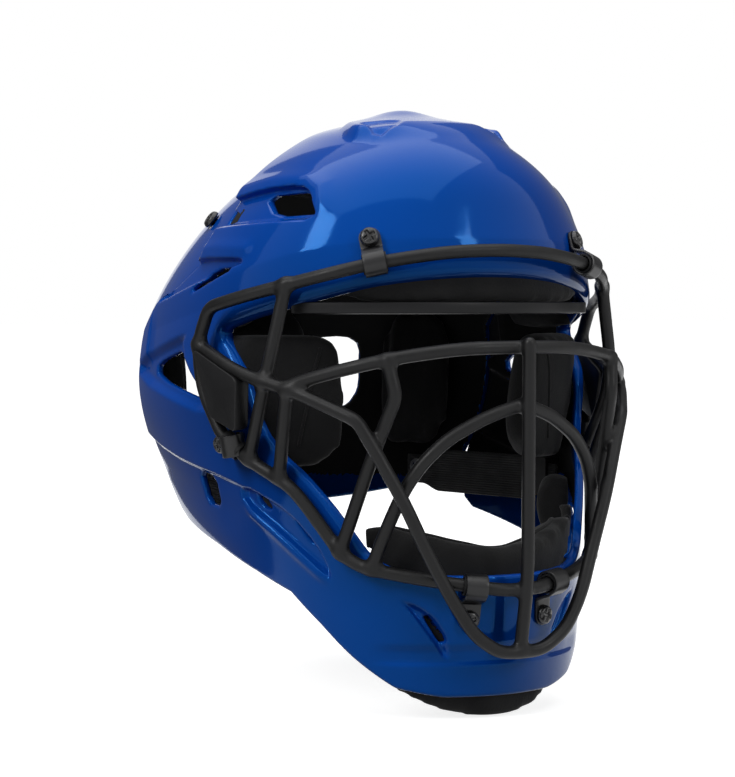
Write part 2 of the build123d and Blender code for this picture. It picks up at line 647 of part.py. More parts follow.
def strap_frame():
    """Plane along the middle of the left strap, with Y across its thickness, and the strap's length."""
    mid_z = height((STRAP_SLOT_SHARES[0][1] + STRAP_SLOT_SHARES[3][1]) / 2)
    front = shell_point(mid_z, STRAP_FRONT_TURN, WALL + SEAT_GAP + STRAP_THICKNESS)
    back = shell_point(mid_z, STRAP_BACK_TURN, REAR_SHELL_INSET + WALL + STRAP_SEAT_GAP + STRAP_THICKNESS)
    along_strap = back - front
    return Plane(origin=(front + back) * 0.5, x_dir=along_strap, z_dir=Vector(0, 0, 1)), along_strap.length


def stud_axis():
    """Plane on the left strap's rear end that looks out through the rear shell."""
    plane, length = strap_frame()
    place = plane.from_local_coords(Vector(length / 2 - STUD_DIAMETER, 0, 0))
    return Plane(origin=place, x_dir=plane.z_dir, z_dir=plane.y_dir * -1)


def make_strap():
    """Taut elastic strap from behind the side slot to the rear shell."""
    plane, length = strap_frame()
    strap = block(plane, length, STRAP_THICKNESS, 0, 0, -STRAP_WIDTH / 2, STRAP_WIDTH / 2)
    hole = rod(stud_axis(), STUD_SHANK_DIAMETER / 2 + HOLE_CLEARANCE, -OVERRUN / 2, OVERRUN / 2)
    return cut_all(strap, [hole])


def make_stud(room):
    """Stud that holds the strap's rear end to the rear shell."""
    axis = stud_axis()
    inner_seat = -STRAP_THICKNESS / 2 - SEAT_GAP
    head = rod(axis, STUD_DIAMETER / 2, inner_seat - STUD_HEAD_THICKNESS, inner_seat)
    shank = rod(axis, STUD_SHANK_DIAMETER / 2, inner_seat - STUD_HEAD_THICKNESS / 2, OVERRUN / 4)
    return joined(head, common(shank, room))


def make_strap_keeper(room):
    """Loop inside the front shell that the strap's front end runs through."""
    plane, length = strap_frame()
    near = STUD_DIAMETER - length / 2
    wide = STRAP_WIDTH + 2 * KEEPER_WALL + 2 * SEAT_GAP
    outer_face = KEEPER_REACH
    inner_face = STRAP_THICKNESS / 2 + SEAT_GAP + KEEPER_WALL
    frame = block(plane, KEEPER_LENGTH, outer_face + inner_face, near, (inner_face - outer_face) / 2,
                  -wide / 2, wide / 2)
    channel = block(plane, OVERRUN, STRAP_THICKNESS + 2 * SEAT_GAP, near, 0,
                    -STRAP_WIDTH / 2 - SEAT_GAP, STRAP_WIDTH / 2 + SEAT_GAP)
    return common(cut_all(frame, [channel]), room)


def main():
    """Build every node and write it."""
    os.makedirs("parts", exist_ok=True)
    planes = screw_places()
    outer = shell_solid(0.0)
    inner = shell_solid(WALL)
    front_shell = joined(make_front_shell(outer, inner, planes), make_hood())
    save("front_shell", front_shell)
    save("rear_shell", make_rear_shell(planes))

    brow = full_route(BROW_WIRE_SHARES)
    jaw = full_route(JAW_WIRE_SHARES)
    save("cage_brow_wire", wire_solid(brow))
    save("cage_jaw_wire", wire_solid(jaw))
    save("cage_eye_bar", wire_solid(full_route(EYE_BAR_SHARES)))
    save("cage_outer_bar", wire_solid(full_route(OUTER_BAR_SHARES)))
    save("cage_centre_bar", wire_solid(route(CENTRE_BAR_SHARES)))
    save_pair("cage_lower_arc", wire_solid(route(LOWER_ARC_SHARES)))
    save_pair("cage_temple_wire", wire_solid(route(TEMPLE_WIRE_SHARES)))
    save_pair("cage_cheek_wire", wire_solid(route(CHEEK_WIRE_SHARES)))
    save_pair("cage_side_plate", make_side_plate())

    wires = {"brow": brow, "side": jaw, "chin": jaw}
    shell_room = shell_solid(-SEAT_GAP)
    seat = -WALL - NUT_SEAT_GAP
    pockets = []
    for name, points in wires.items():
        plane = planes[name]
        body, sleeve = clip(plane, points, shell_room)
        save_pair(name + "_clip", body)
        save_pair(name + "_clip_sleeve", sleeve)
        bolt = screw(plane, SEAT_GAP + CLIP_THICKNESS + SEAT_GAP / 3, seat - NUT_BARREL_LENGTH)
        save(name + "_screws", bolt, flip(bolt))
        holder = nut(plane, seat)
        save(name + "_nuts", holder, flip(holder))
        pocket = nut_pocket(plane, seat)
        pockets += [pocket, flip(pocket)]

    pivot = planes["pivot"]
    bracket_seat = -REAR_SHELL_INSET - WALL - BRACKET_DROP - BRACKET_THICKNESS - NUT_SEAT_GAP
    save_pair("pivot_bracket", make_pivot_bracket(pivot))
    bolt = screw(pivot, PIVOT_PLAY - REAR_SHELL_INSET, bracket_seat - NUT_BARREL_LENGTH)
    save("pivot_screws", bolt, flip(bolt))
    holder = nut(pivot, bracket_seat)
    save("pivot_nuts", holder, flip(holder))
    washer = pivot_washer(pivot)
    save("pivot_washers", washer, flip(washer))

    inset = WALL + PAD_GAP
    rear_inset = REAR_SHELL_INSET + WALL + PAD_GAP
    save("forehead_pad", cut_all(banded_cushion(FOREHEAD_SHARES, FOREHEAD_TURNS, FOREHEAD_DEPTH, inset,
                                                SWELL_SHARES), pockets))
    save("brow_strip", banded_cushion(BROW_STRIP_SHARES, FOREHEAD_TURNS, BROW_STRIP_DEPTH, inset))
    room = shell_solid(WALL + SEAT_GAP)
    rear_room = shell_solid(REAR_SHELL_INSET + WALL + SEAT_GAP)
    save("front_crown_pad", common(crown_cushion(FRONT_CROWN_TURNS, inset - PAD_SINK), room))
    save("rear_crown_pad", common(crown_cushion(REAR_CROWN_TURNS, rear_inset - PAD_SINK), rear_room))
    save_pair("temple_pad", banded_cushion(TEMPLE_SHARES, TEMPLE_TURNS, TEMPLE_DEPTH, inset))
    cheek_pad = upright_cushion(CHEEK_SHARES, CHEEK_TURNS, CHEEK_DEPTH, inset, CHEEK_SWELL_SHARES,
                                CHEEK_LEAN_SHARE, CHEEK_EDGE_SHARES)
    save_pair("cheek_pad", cut_all(cheek_pad, pockets))
    save_pair("jaw_pad", banded_cushion(JAW_SHARES, JAW_TURNS, JAW_DEPTH, inset))
    chin_pad = banded_cushion(CHIN_SHARES, CHIN_TURNS, CHIN_DEPTH, inset, SWELL_SHARES,
                              CHIN_RISE_SHARE * CHIN_DROP)
    save("chin_pad", cut_all(common(chin_pad, room), pockets))
    chin_cup = banded_cushion(CHIN_CUP_SHARES, CHIN_CUP_TURNS, CHIN_CUP_DEPTH, inset, SWELL_SHARES,
                              CHIN_CUP_RISE_SHARE * CHIN_DROP)
    save("chin_cup", cut_all(common(chin_cup, room), pockets))
    rear_pad = upright_cushion(REAR_PAD_SHARES, (180.0 - REAR_PAD_TURN, 180.0 + REAR_PAD_TURN),
                               REAR_PAD_DEPTH + PAD_SINK, rear_inset - PAD_SINK, SWELL_SHARES)
    save("rear_pad", common(rear_pad, rear_room))
    rear_side_pad = banded_cushion(REAR_SIDE_SHARES, REAR_SIDE_TURNS, REAR_SIDE_DEPTH + PAD_SINK,
                                   rear_inset - PAD_SINK, SWELL_SHARES)
    save_pair("rear_side_pad", common(rear_side_pad, rear_room))
    save_pair("elastic_strap", make_strap())
    save_pair("strap_keeper", make_strap_keeper(room))
    stud = make_stud(shell_solid(REAR_SHELL_INSET))
    save("strap_studs", stud, flip(stud))


if __name__ == "__main__":
    main()
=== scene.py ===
"""Dressed scene of a hockey style catcher's helmet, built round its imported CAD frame.

The two shells and the welded face guard are meshed from smooth fields. The cushions are pressed out of the
CAD solids with a short cloth run. Lengths inside the forms are millimetres in the frame's own axes: +X is the
wearer's left, -Y is the way the face looks and +Z is up. Meshes are written in metres.
"""
from __future__ import annotations

import json
import logging
import math
from dataclasses import dataclass
from enum import Enum
from typing import Optional, Sequence

import bmesh
import bpy
import numpy as np
from bpy.types import ID, Material, Mesh, Node, NodeOutputs, NodeSocket, NodeTree, Object
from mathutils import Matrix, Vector
from mathutils.bvhtree import BVHTree

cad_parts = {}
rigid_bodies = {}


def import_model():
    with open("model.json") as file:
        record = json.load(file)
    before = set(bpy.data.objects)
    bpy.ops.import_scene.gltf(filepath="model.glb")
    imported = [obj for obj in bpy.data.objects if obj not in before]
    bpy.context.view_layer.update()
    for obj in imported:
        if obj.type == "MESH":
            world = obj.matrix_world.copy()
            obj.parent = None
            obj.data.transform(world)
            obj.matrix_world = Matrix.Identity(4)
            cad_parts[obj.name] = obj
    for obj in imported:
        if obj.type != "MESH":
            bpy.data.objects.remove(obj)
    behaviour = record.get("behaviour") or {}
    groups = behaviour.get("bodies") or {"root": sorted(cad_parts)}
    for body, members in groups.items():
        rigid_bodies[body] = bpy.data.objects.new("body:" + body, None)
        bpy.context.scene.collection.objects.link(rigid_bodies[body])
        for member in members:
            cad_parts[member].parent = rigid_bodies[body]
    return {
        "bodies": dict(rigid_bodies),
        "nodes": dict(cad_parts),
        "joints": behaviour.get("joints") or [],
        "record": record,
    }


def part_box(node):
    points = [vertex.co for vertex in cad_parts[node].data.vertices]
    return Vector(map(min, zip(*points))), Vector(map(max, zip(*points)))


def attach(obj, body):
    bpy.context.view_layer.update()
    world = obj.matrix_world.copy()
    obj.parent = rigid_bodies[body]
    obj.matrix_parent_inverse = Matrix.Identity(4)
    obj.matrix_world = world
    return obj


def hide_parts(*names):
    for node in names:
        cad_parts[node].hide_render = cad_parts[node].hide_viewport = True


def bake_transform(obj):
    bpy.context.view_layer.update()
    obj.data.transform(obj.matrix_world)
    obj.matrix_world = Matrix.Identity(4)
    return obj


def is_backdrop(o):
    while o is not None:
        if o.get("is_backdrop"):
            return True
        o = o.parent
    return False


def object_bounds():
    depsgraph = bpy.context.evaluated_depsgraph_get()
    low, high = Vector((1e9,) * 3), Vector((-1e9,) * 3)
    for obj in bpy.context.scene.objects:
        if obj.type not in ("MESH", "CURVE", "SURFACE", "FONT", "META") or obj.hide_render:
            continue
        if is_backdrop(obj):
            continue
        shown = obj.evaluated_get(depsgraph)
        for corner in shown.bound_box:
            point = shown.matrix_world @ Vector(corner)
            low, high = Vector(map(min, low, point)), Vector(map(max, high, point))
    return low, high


LOG = logging.getLogger("helmet")
MM = 0.001
TINY = 1e-9
FAR = 1e9
SIDES = ((1, "l"), (-1, "r"))
MASK_LOW, MASK_HIGH = 0.3, 0.7
CORNER_CUT = 0.2
LEAST_STEEP = 0.2
NET_REACH = 0.6
THIN_MARGIN = 0.985
DOUBLES = 1e-6
OUTSIDE = 1e3
Array = np.ndarray
Triple = tuple[float, float, float]


class Slot(Enum):
    """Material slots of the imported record."""

    SHELL = "shell"
    SIDE_PLATE = "side_plate"
    WIRE = "wire"
    SLEEVE = "sleeve"
    CLIP = "clip"
    SCREW = "screw"
    HARDWARE = "hardware"
    BROW_STRIP = "brow_strip"
    PADDING = "padding"
    ELASTIC = "elastic"
    BRACKET = "bracket"


def fill(tree: NodeTree, node: Node, inputs: dict) -> None:
    """Fill a node's inputs.

    Args:
        tree: the node's tree.
        node: the node.
        inputs: a socket to link or a plain value for each input, by name or number.
    """
    for key, value in inputs.items():
        if isinstance(value, NodeSocket):
            tree.links.new(value, node.inputs[key])
        else:
            node.inputs[key].default_value = value


def add_node(tree: NodeTree, kind: str, inputs: dict) -> Node:
    """Add a node and fill its inputs.

    Args:
        tree: tree that gets the node.
        kind: type of the node.
        inputs: what its inputs get.

    Returns:
        The node.
    """
    node = tree.nodes.new(kind)
    fill(tree, node, inputs)
    return node


def math_node(tree: NodeTree, operation: str, first: NodeSocket | float,
              second: NodeSocket | float) -> NodeSocket:
    """Add a Math node.

    Args:
        tree: tree that gets the node.
        operation: name of the operation.
        first: socket or number on the first input.
        second: socket or number on the second input.

    Returns:
        The node's output socket.
    """
    node = add_node(tree, "ShaderNodeMath", {0: first, 1: second})
    node.operation = operation
    return node.outputs[0]


def new_group(name: str, inputs: dict[str, float], outputs: Sequence[str]) -> NodeTree:
    """Make an empty shader group with a vector input, number inputs and number outputs.

    Args:
        name: name of the group.
        inputs: names and first values of the number inputs.
        outputs: names of the number outputs.

    Returns:
        The group, with its input and output nodes in place.
    """
    tree = bpy.data.node_groups.new(name, "ShaderNodeTree")
    vector = tree.interface.new_socket("Vector", in_out="INPUT", socket_type="NodeSocketVector")
    vector.hide_value = True
    for label, value in inputs.items():
        socket = tree.interface.new_socket(label, in_out="INPUT", socket_type="NodeSocketFloat")
        socket.default_value = value
    for label in outputs:
        tree.interface.new_socket(label, in_out="OUTPUT", socket_type="NodeSocketFloat")
    tree.nodes.new("NodeGroupInput").name = "in"
    tree.nodes.new("NodeGroupOutput").name = "out"
    return tree


def group_noise(tree: NodeTree, scale: str, detail: float) -> NodeSocket:
    """Noise inside a group, as fine as one of the group's inputs says.

    Args:
        tree: the group.
        scale: name of the input that sets the scale.
        detail: the noise's detail.

    Returns:
        The noise.
    """
    entry = tree.nodes["in"].outputs
    noise = add_node(tree, "ShaderNodeTexNoise", {"Detail": detail, "Vector": entry["Vector"],
                                                  "Scale": entry[scale]})
    return noise.outputs["Fac"]


def grain_group() -> NodeTree:
    """Group that puts out a fine grain and a slow mottling, both about 0.5 on average.

    Returns:
        The group.
    """
    tree = new_group("grain", {"Grain Scale": 900.0, "Mottle Scale": 40.0}, ("Grain", "Mottle"))
    fill(tree, tree.nodes["out"], {"Grain": group_noise(tree, "Grain Scale", 4.0),
                                   "Mottle": group_noise(tree, "Mottle Scale", 3.0)})
    return tree


def knit_group() -> NodeTree:
    """Group that puts out the height of a fine knit and the slow shading of a brushed nap.

    Returns:
        The group.
    """
    tree = new_group("knit", {"Loops": 900.0, "Nap Scale": 55.0}, ("Height", "Nap"))
    entry = tree.nodes["in"].outputs
    cells = add_node(tree, "ShaderNodeTexVoronoi", {"Vector": entry["Vector"], "Scale": entry["Loops"]})
    cells.feature = "SMOOTH_F1"
    height = math_node(tree, "ADD", math_node(tree, "MULTIPLY", cells.outputs["Distance"], 0.6),
                       math_node(tree, "MULTIPLY", group_noise(tree, "Loops", 5.0), 0.7))
    fill(tree, tree.nodes["out"], {"Height": height, "Nap": group_noise(tree, "Nap Scale", 3.0)})
    return tree


def rib_group() -> NodeTree:
    """Group that puts out the height of woven ribs that run along a strap.

    Returns:
        The group.
    """
    tree = new_group("ribs", {"Ribs": 5200.0, "Picks": 9000.0}, ("Height",))
    entry = tree.nodes["in"].outputs
    split = add_node(tree, "ShaderNodeSeparateXYZ", {0: entry["Vector"]})
    waves = []
    for axis, label, share in (("Z", "Ribs", 0.5), ("Y", "Picks", 0.2)):
        turn = math_node(tree, "MULTIPLY", split.outputs[axis], entry[label])
        waves.append(math_node(tree, "MULTIPLY", math_node(tree, "SINE", turn, 0.0), share))
    fill(tree, tree.nodes["out"], {"Height": math_node(tree, "ADD", *waves)})
    return tree


@dataclass(frozen=True)
class Finish:
    """A moulded, painted or metal finish with a fine grain and slow colour mottling."""

    name: str
    slot: Slot
    colour: Triple
    roughness: float
    shade: float = 0.12
    rough_swing: float = 0.1
    metallic: float = 0.0
    coat: float = 0.0
    coat_roughness: float = 0.05
    specular: float = 0.5
    tint: Triple = (1.0, 1.0, 1.0)
    grain: float = 900.0
    mottle: float = 40.0
    bump: float = 0.1
    bump_depth: float = 0.0001

    def build(self, groups: dict[str, NodeTree]) -> Material:
        """Make the material.

        Args:
            groups: shader groups by name.

        Returns:
            The material.
        """
        material, tree, shader = principled(self.name, {
            "Metallic": self.metallic, "Coat Weight": self.coat, "Coat Roughness": self.coat_roughness,
            "Specular IOR Level": self.specular, "Specular Tint": (*self.tint, 1.0)})
        grain = placed_group(tree, groups["grain"], {"Grain Scale": self.grain, "Mottle Scale": self.mottle})
        colour_between(tree, shader, grain["Mottle"], self.colour, self.shade)
        swing = self.rough_swing / 2
        rough_between(tree, shader, grain["Mottle"], self.roughness - swing, self.roughness + swing)
        add_bump(tree, shader, grain["Grain"], self.bump, self.bump_depth)
        return material


@dataclass(frozen=True)
class Fabric:
    """Brushed knit over foam, with a sheen and a soft nap."""

    name: str
    slot: Slot
    colour: Triple
    loops: float = 1100.0
    nap: float = 60.0
    shade: float = 0.5
    rough: tuple[float, float] = (0.82, 0.95)
    sheen: float = 0.25
    sheen_roughness: float = 0.4
    specular: float = 0.25
    bump: float = 0.5
    bump_depth: float = 0.0003

    def build(self, groups: dict[str, NodeTree]) -> Material:
        """Make the material.

        Args:
            groups: shader groups by name.

        Returns:
            The material.
        """
        material, tree, shader = principled(self.name, {
            "Sheen Weight": self.sheen, "Sheen Roughness": self.sheen_roughness,
            "Specular IOR Level": self.specular})
        knit = placed_group(tree, groups["knit"], {"Loops": self.loops, "Nap Scale": self.nap})
        colour_between(tree, shader, knit["Nap"], self.colour, self.shade)
        rough_between(tree, shader, knit["Nap"], *self.rough)
        add_bump(tree, shader, knit["Height"], self.bump, self.bump_depth)
        return material


@dataclass(frozen=True)
class Webbing:
    """Woven elastic with ribs along it."""

    name: str
    slot: Slot
    colour: Triple
    ribs: float = 5200.0
    picks: float = 9000.0
    grain: float = 1500.0
    mottle: float = 90.0
    shade: float = 0.5
    rough: tuple[float, float] = (0.75, 0.95)
    sheen: float = 0.2
    specular: float = 0.3
    bump: float = 0.6
    bump_depth: float = 0.0003

    def build(self, groups: dict[str, NodeTree]) -> Material:
        """Make the material.

        Args:
            groups: shader groups by name.

        Returns:
            The material.
        """
        material, tree, shader = principled(self.name, {
            "Sheen Weight": self.sheen, "Specular IOR Level": self.specular})
        weave = placed_group(tree, groups["ribs"], {"Ribs": self.ribs, "Picks": self.picks})
        grain = placed_group(tree, groups["grain"], {"Grain Scale": self.grain, "Mottle Scale": self.mottle})
        colour_between(tree, shader, grain["Grain"], self.colour, self.shade)
        rough_between(tree, shader, grain["Mottle"], *self.rough)
        add_bump(tree, shader, weave["Height"], self.bump, self.bump_depth)
        return material


def principled(name: str, values: dict) -> tuple[Material, NodeTree, Node]:
    """Make a material with a Principled shader.

    Args:
        name: name of the material.
        values: plain values for the shader's sockets.

    Returns:
        The material, its tree and its shader.
    """
    material = bpy.data.materials.new(name)
    material.use_nodes = True
    tree = material.node_tree
    shader = tree.nodes["Principled BSDF"]
    fill(tree, shader, values)
    return material, tree, shader


def placed_group(tree: NodeTree, group: NodeTree, values: dict[str, float]) -> NodeOutputs:
    """Place a shader group that reads Object coordinates.

    Args:
        tree: the material's tree.
        group: group to place.
        values: numbers for its inputs.

    Returns:
        The group node's outputs.
    """
    node = tree.nodes.new("ShaderNodeGroup")
    node.node_tree = group
    coordinates = tree.nodes.new("ShaderNodeTexCoord")
    fill(tree, node, {"Vector": coordinates.outputs["Object"], **values})
    return node.outputs


def colour_between(tree: NodeTree, shader: Node, mask: NodeSocket,
                   colour: Triple, shade: float) -> None:
    """Vary Base Color round a colour by a mask.

    Args:
        tree: the material's tree.
        shader: its shader.
        mask: number from 0 to 1.
        colour: middle colour.
        shade: share by which the darkest and the lightest differ from it.
    """
    ramp = add_node(tree, "ShaderNodeValToRGB", {"Fac": mask})
    for stop, place, swing in zip(ramp.color_ramp.elements, (MASK_LOW, MASK_HIGH), (1 - shade, 1 + shade)):
        stop.position = place
        stop.color = (*(c * swing for c in colour), 1.0)
    fill(tree, shader, {"Base Color": ramp.outputs["Color"]})


def rough_between(tree: NodeTree, shader: Node, mask: NodeSocket,
                  low: float, high: float) -> None:
    """Drive Roughness between two values by a mask.

    Args:
        tree: the material's tree.
        shader: its shader.
        mask: number that is mostly from MASK_LOW to MASK_HIGH.
        low: value at the low end.
        high: value at the high end.
    """
    span = add_node(tree, "ShaderNodeMapRange", {"From Min": MASK_LOW, "From Max": MASK_HIGH, "To Min": low,
                                                 "To Max": high, "Value": mask})
    fill(tree, shader, {"Roughness": span.outputs["Result"]})


def add_bump(tree: NodeTree, shader: Node, height: NodeSocket,
             strength: float, depth: float) -> None:
    """Feed a height into the shader's Normal; depth is the height in metres that 1 stands for."""
    bump = add_node(tree, "ShaderNodeBump", {"Strength": strength, "Distance": depth, "Height": height})
    fill(tree, shader, {"Normal": bump.outputs["Normal"]})


FINISHES = (
    Finish("shell_blue", Slot.SHELL, (0.001, 0.064, 0.40), 0.08, shade=0.03, rough_swing=0.03, coat=0.03,
           coat_roughness=0.03, specular=0.38, tint=(0.04, 0.38, 1.0),
           grain=260.0, mottle=18.0, bump=0.03, bump_depth=0.0002),
    Finish("liner_black", Slot.PADDING, (0.006, 0.006, 0.0065), 0.75, grain=1300.0, bump=0.3, specular=0.12),
    Finish("powder_black", Slot.WIRE, (0.0075, 0.0075, 0.008), 0.4, shade=0.2, rough_swing=0.16, grain=1500.0,
           mottle=120.0, bump=0.35, bump_depth=0.0002, specular=0.22),
    Finish("plate_black", Slot.SIDE_PLATE, (0.008, 0.008, 0.009), 0.42, shade=0.15, grain=2200.0, mottle=60.0,
           bump=0.25, bump_depth=0.00012, specular=0.22),
    Finish("sleeve_rubber", Slot.SLEEVE, (0.008, 0.008, 0.0085), 0.6, grain=1800.0, bump=0.2, specular=0.2),
    Finish("clip_black", Slot.CLIP, (0.008, 0.008, 0.009), 0.36, grain=1700.0, mottle=90.0, bump=0.15,
           coat=0.1, coat_roughness=0.3, specular=0.3),
    Finish("screw_black", Slot.SCREW, (0.006, 0.006, 0.007), 0.28, rough_swing=0.16, coat=0.3,
           coat_roughness=0.2, grain=2400.0, mottle=200.0, bump=0.1, specular=0.35),
    Finish("zinc", Slot.HARDWARE, (0.5, 0.5, 0.5), 0.34, metallic=1.0, rough_swing=0.2, grain=1600.0,
           mottle=160.0, bump=0.1),
    Finish("strip_gloss", Slot.BROW_STRIP, (0.006, 0.006, 0.007), 0.36, grain=700.0, bump=0.06, specular=0.2),
    Finish("moulded_black", Slot.BRACKET, (0.010, 0.010, 0.011), 0.5, grain=1900.0, bump=0.25, specular=0.25),
    Fabric("pad_knit", Slot.PADDING, (0.0075, 0.0075, 0.008)),
    Webbing("elastic_weave", Slot.ELASTIC, (0.010, 0.010, 0.011)),
)


def smooth_step(low: float, high: float, value: Array) -> Array:
    """Ease from 0 at low to 1 at high."""
    t = np.clip((value - low) / (high - low), 0.0, 1.0)
    return t * t * (3 - 2 * t)


def smooth_max(a: Array, b: Array, radius: Array | float) -> Array:
    """Larger of two fields, with the edge where they meet rounded by a radius."""
    return np.maximum(a, b) + np.maximum(radius - np.abs(a - b), 0.0) ** 2 / (4 * radius)


def unit(rows: Array) -> Array:
    """Rows brought to length 1."""
    return rows / np.maximum(np.linalg.norm(rows, axis=1), TINY)[:, None]


def capped(moves: Array, limit: float) -> Array:
    """Moves cut down to a limit."""
    length = np.linalg.norm(moves, axis=1)
    return moves * np.minimum(1.0, limit / np.maximum(length, TINY))[:, None]


def eased(line: Array, times: int) -> Array:
    """Line of points drawn smoother, with its ends kept.

    Args:
        line: rows of points, changed in place.
        times: rounds of smoothing.

    Returns:
        The same rows.
    """
    for _ in range(times):
        line[1:-1] = (line[:-2] + 2 * line[1:-1] + line[2:]) / 4
    return line


def curve_at(start: Array, corner: Array, end: Array, t: float) -> Array:
    """Point on the curve from start to end that bends towards a corner."""
    return (1 - t) ** 2 * start + 2 * t * (1 - t) * corner + t * t * end


class View(Enum):
    """Direction in which an outline is drawn."""

    SIDE = (1, 2)
    FRONT = (0, 2)
    TOP = (0, 1)


@dataclass(frozen=True)
class Drawn:
    """Line on the wearer's left, drawn in one view."""

    view: View
    points: tuple[tuple[float, float], ...]

    def seen(self, places: Array) -> tuple[Array, Array]:
        """Both coordinates of each place in the view."""
        u, v = self.view.value
        return places[:, u], places[:, v]


@dataclass(frozen=True)
class Outline(Drawn):
    """Closed outline."""

    rounds: int = 0

    def corners(self) -> Array:
        """Corners after the outline's rounding, which cuts each corner in turn.

        Returns:
            Rows of both coordinates.
        """
        points = np.array(self.points, float)
        for _ in range(self.rounds):
            ahead = np.roll(points, -1, 0)
            keep = 1 - CORNER_CUT
            cut = [points * keep + ahead * CORNER_CUT, points * CORNER_CUT + ahead * keep]
            points = np.stack(cut, 1).reshape(-1, 2)
        return points

    def distance(self, places: Array, reach: float = FAR) -> Array:
        """Distance to the outline, negative inside it.

        Args:
            places: places as rows of x, y, z, with x already positive.
            reach: distance past which the exact value doesn't matter.

        Returns:
            One distance for each place.
        """
        points = self.corners()
        u, v = self.seen(places)
        low, high = points.min(0) - reach, points.max(0) + reach
        near = (u > low[0]) & (u < high[0]) & (v > low[1]) & (v < high[1])
        result = np.full(len(places), min(reach, OUTSIDE))
        u, v = u[near], v[near]
        nearest = np.full(len(u), FAR)
        sign = np.ones(len(u))
        for a, b in zip(points, np.roll(points, 1, 0)):
            edge = b - a
            wu, wv = u - a[0], v - a[1]
            t = np.clip((wu * edge[0] + wv * edge[1]) / max(edge @ edge, TINY), 0, 1)
            nearest = np.minimum(nearest, (wu - edge[0] * t) ** 2 + (wv - edge[1] * t) ** 2)
            above, below = v >= a[1], v < b[1]
            turn = edge[0] * wv > edge[1] * wu
            sign = np.where((above & below & turn) | (~above & ~below & ~turn), -sign, sign)
        result[near] = np.minimum(sign * np.sqrt(nearest), reach)
        return result


@dataclass(frozen=True)
class Crease(Drawn):
    """Open line."""

    def distance(self, places: Array) -> tuple[Array, Array]:
        """Distance to the line and the share of the way along it.

        Args:
            places: places as rows of x, y, z.

        Returns:
            Distances, positive on the left of the line, and shares from 0 to 1.
        """
        points = np.array(self.points, float)
        u, v = self.seen(places)
        nearest = np.full(len(u), FAR)
        side = np.ones(len(u))
        share = np.zeros(len(u))
        lengths = np.linalg.norm(np.diff(points, axis=0), axis=1)
        start = 0.0
        for a, b, length in zip(points, points[1:], lengths):
            edge = (b - a) / length
            wu, wv = u - a[0], v - a[1]
            t = np.clip(wu * edge[0] + wv * edge[1], 0, length)
            gap = np.hypot(wu - edge[0] * t, wv - edge[1] * t)
            closer = gap < nearest
            nearest = np.where(closer, gap, nearest)
            side = np.where(closer, np.sign(edge[0] * wv - edge[1] * wu), side)
            share = np.where(closer, (start + t) / lengths.sum(), share)
            start += length
        return nearest * side, share


@dataclass(frozen=True)
class Recess:
    """Sunk area of the shell with sloping walls, deeper by slope for each millimetre towards the front."""

    outline: Outline
    depth: float
    wall: float
    lean: float = 0.0

    def sink(self, places: Array) -> Array:
        """Depth below the plain surface at each place.

        Args:
            places: rows of x, y, z.

        Returns:
            One depth for each place.
        """
        inside = -self.outline.distance(places, self.wall * 2)
        middle = self.outline.corners().mean(0)[0]
        along = places[:, self.outline.view.value[0]] - middle
        return smooth_step(0.0, self.wall, inside) * np.maximum(self.depth - self.lean * along, 0.3)


@dataclass(frozen=True)
class Ridge:
    """Raised bead along a line."""

    line: Crease
    height: float
    width: float

    def rise(self, places: Array) -> Array:
        """Height above the plain surface at each place.

        Args:
            places: rows of x, y, z.

        Returns:
            One height for each place.
        """
        gap, share = self.line.distance(places)
        fade = smooth_step(0.0, 0.15, share) * smooth_step(1.0, 0.85, share)
        return self.height * fade * np.exp(-(gap / self.width) ** 2)


def even_spline(knots: Array, values: Array, at: Array) -> Array:
    """Natural cubic spline.

    Args:
        knots: rising knots.
        values: one row of values for each knot.
        at: where to read the spline.

    Returns:
        One row of values for each reading.
    """
    gaps = np.diff(knots)
    count = len(knots)
    system = np.eye(count)
    right = np.zeros_like(values)
    for i in range(1, count - 1):
        system[i, i - 1:i + 2] = gaps[i - 1], 2 * (gaps[i - 1] + gaps[i]), gaps[i]
        right[i] = 6 * ((values[i + 1] - values[i]) / gaps[i] - (values[i] - values[i - 1]) / gaps[i - 1])
    bend = np.linalg.solve(system, right)
    k = np.clip(np.searchsorted(knots, at) - 1, 0, count - 2)
    gap = gaps[k][:, None]
    a = (knots[k + 1] - at)[:, None] / gap
    b = 1 - a
    return (a * values[k] + b * values[k + 1]
            + ((a ** 3 - a) * bend[k] + (b ** 3 - b) * bend[k + 1]) * gap * gap / 6)


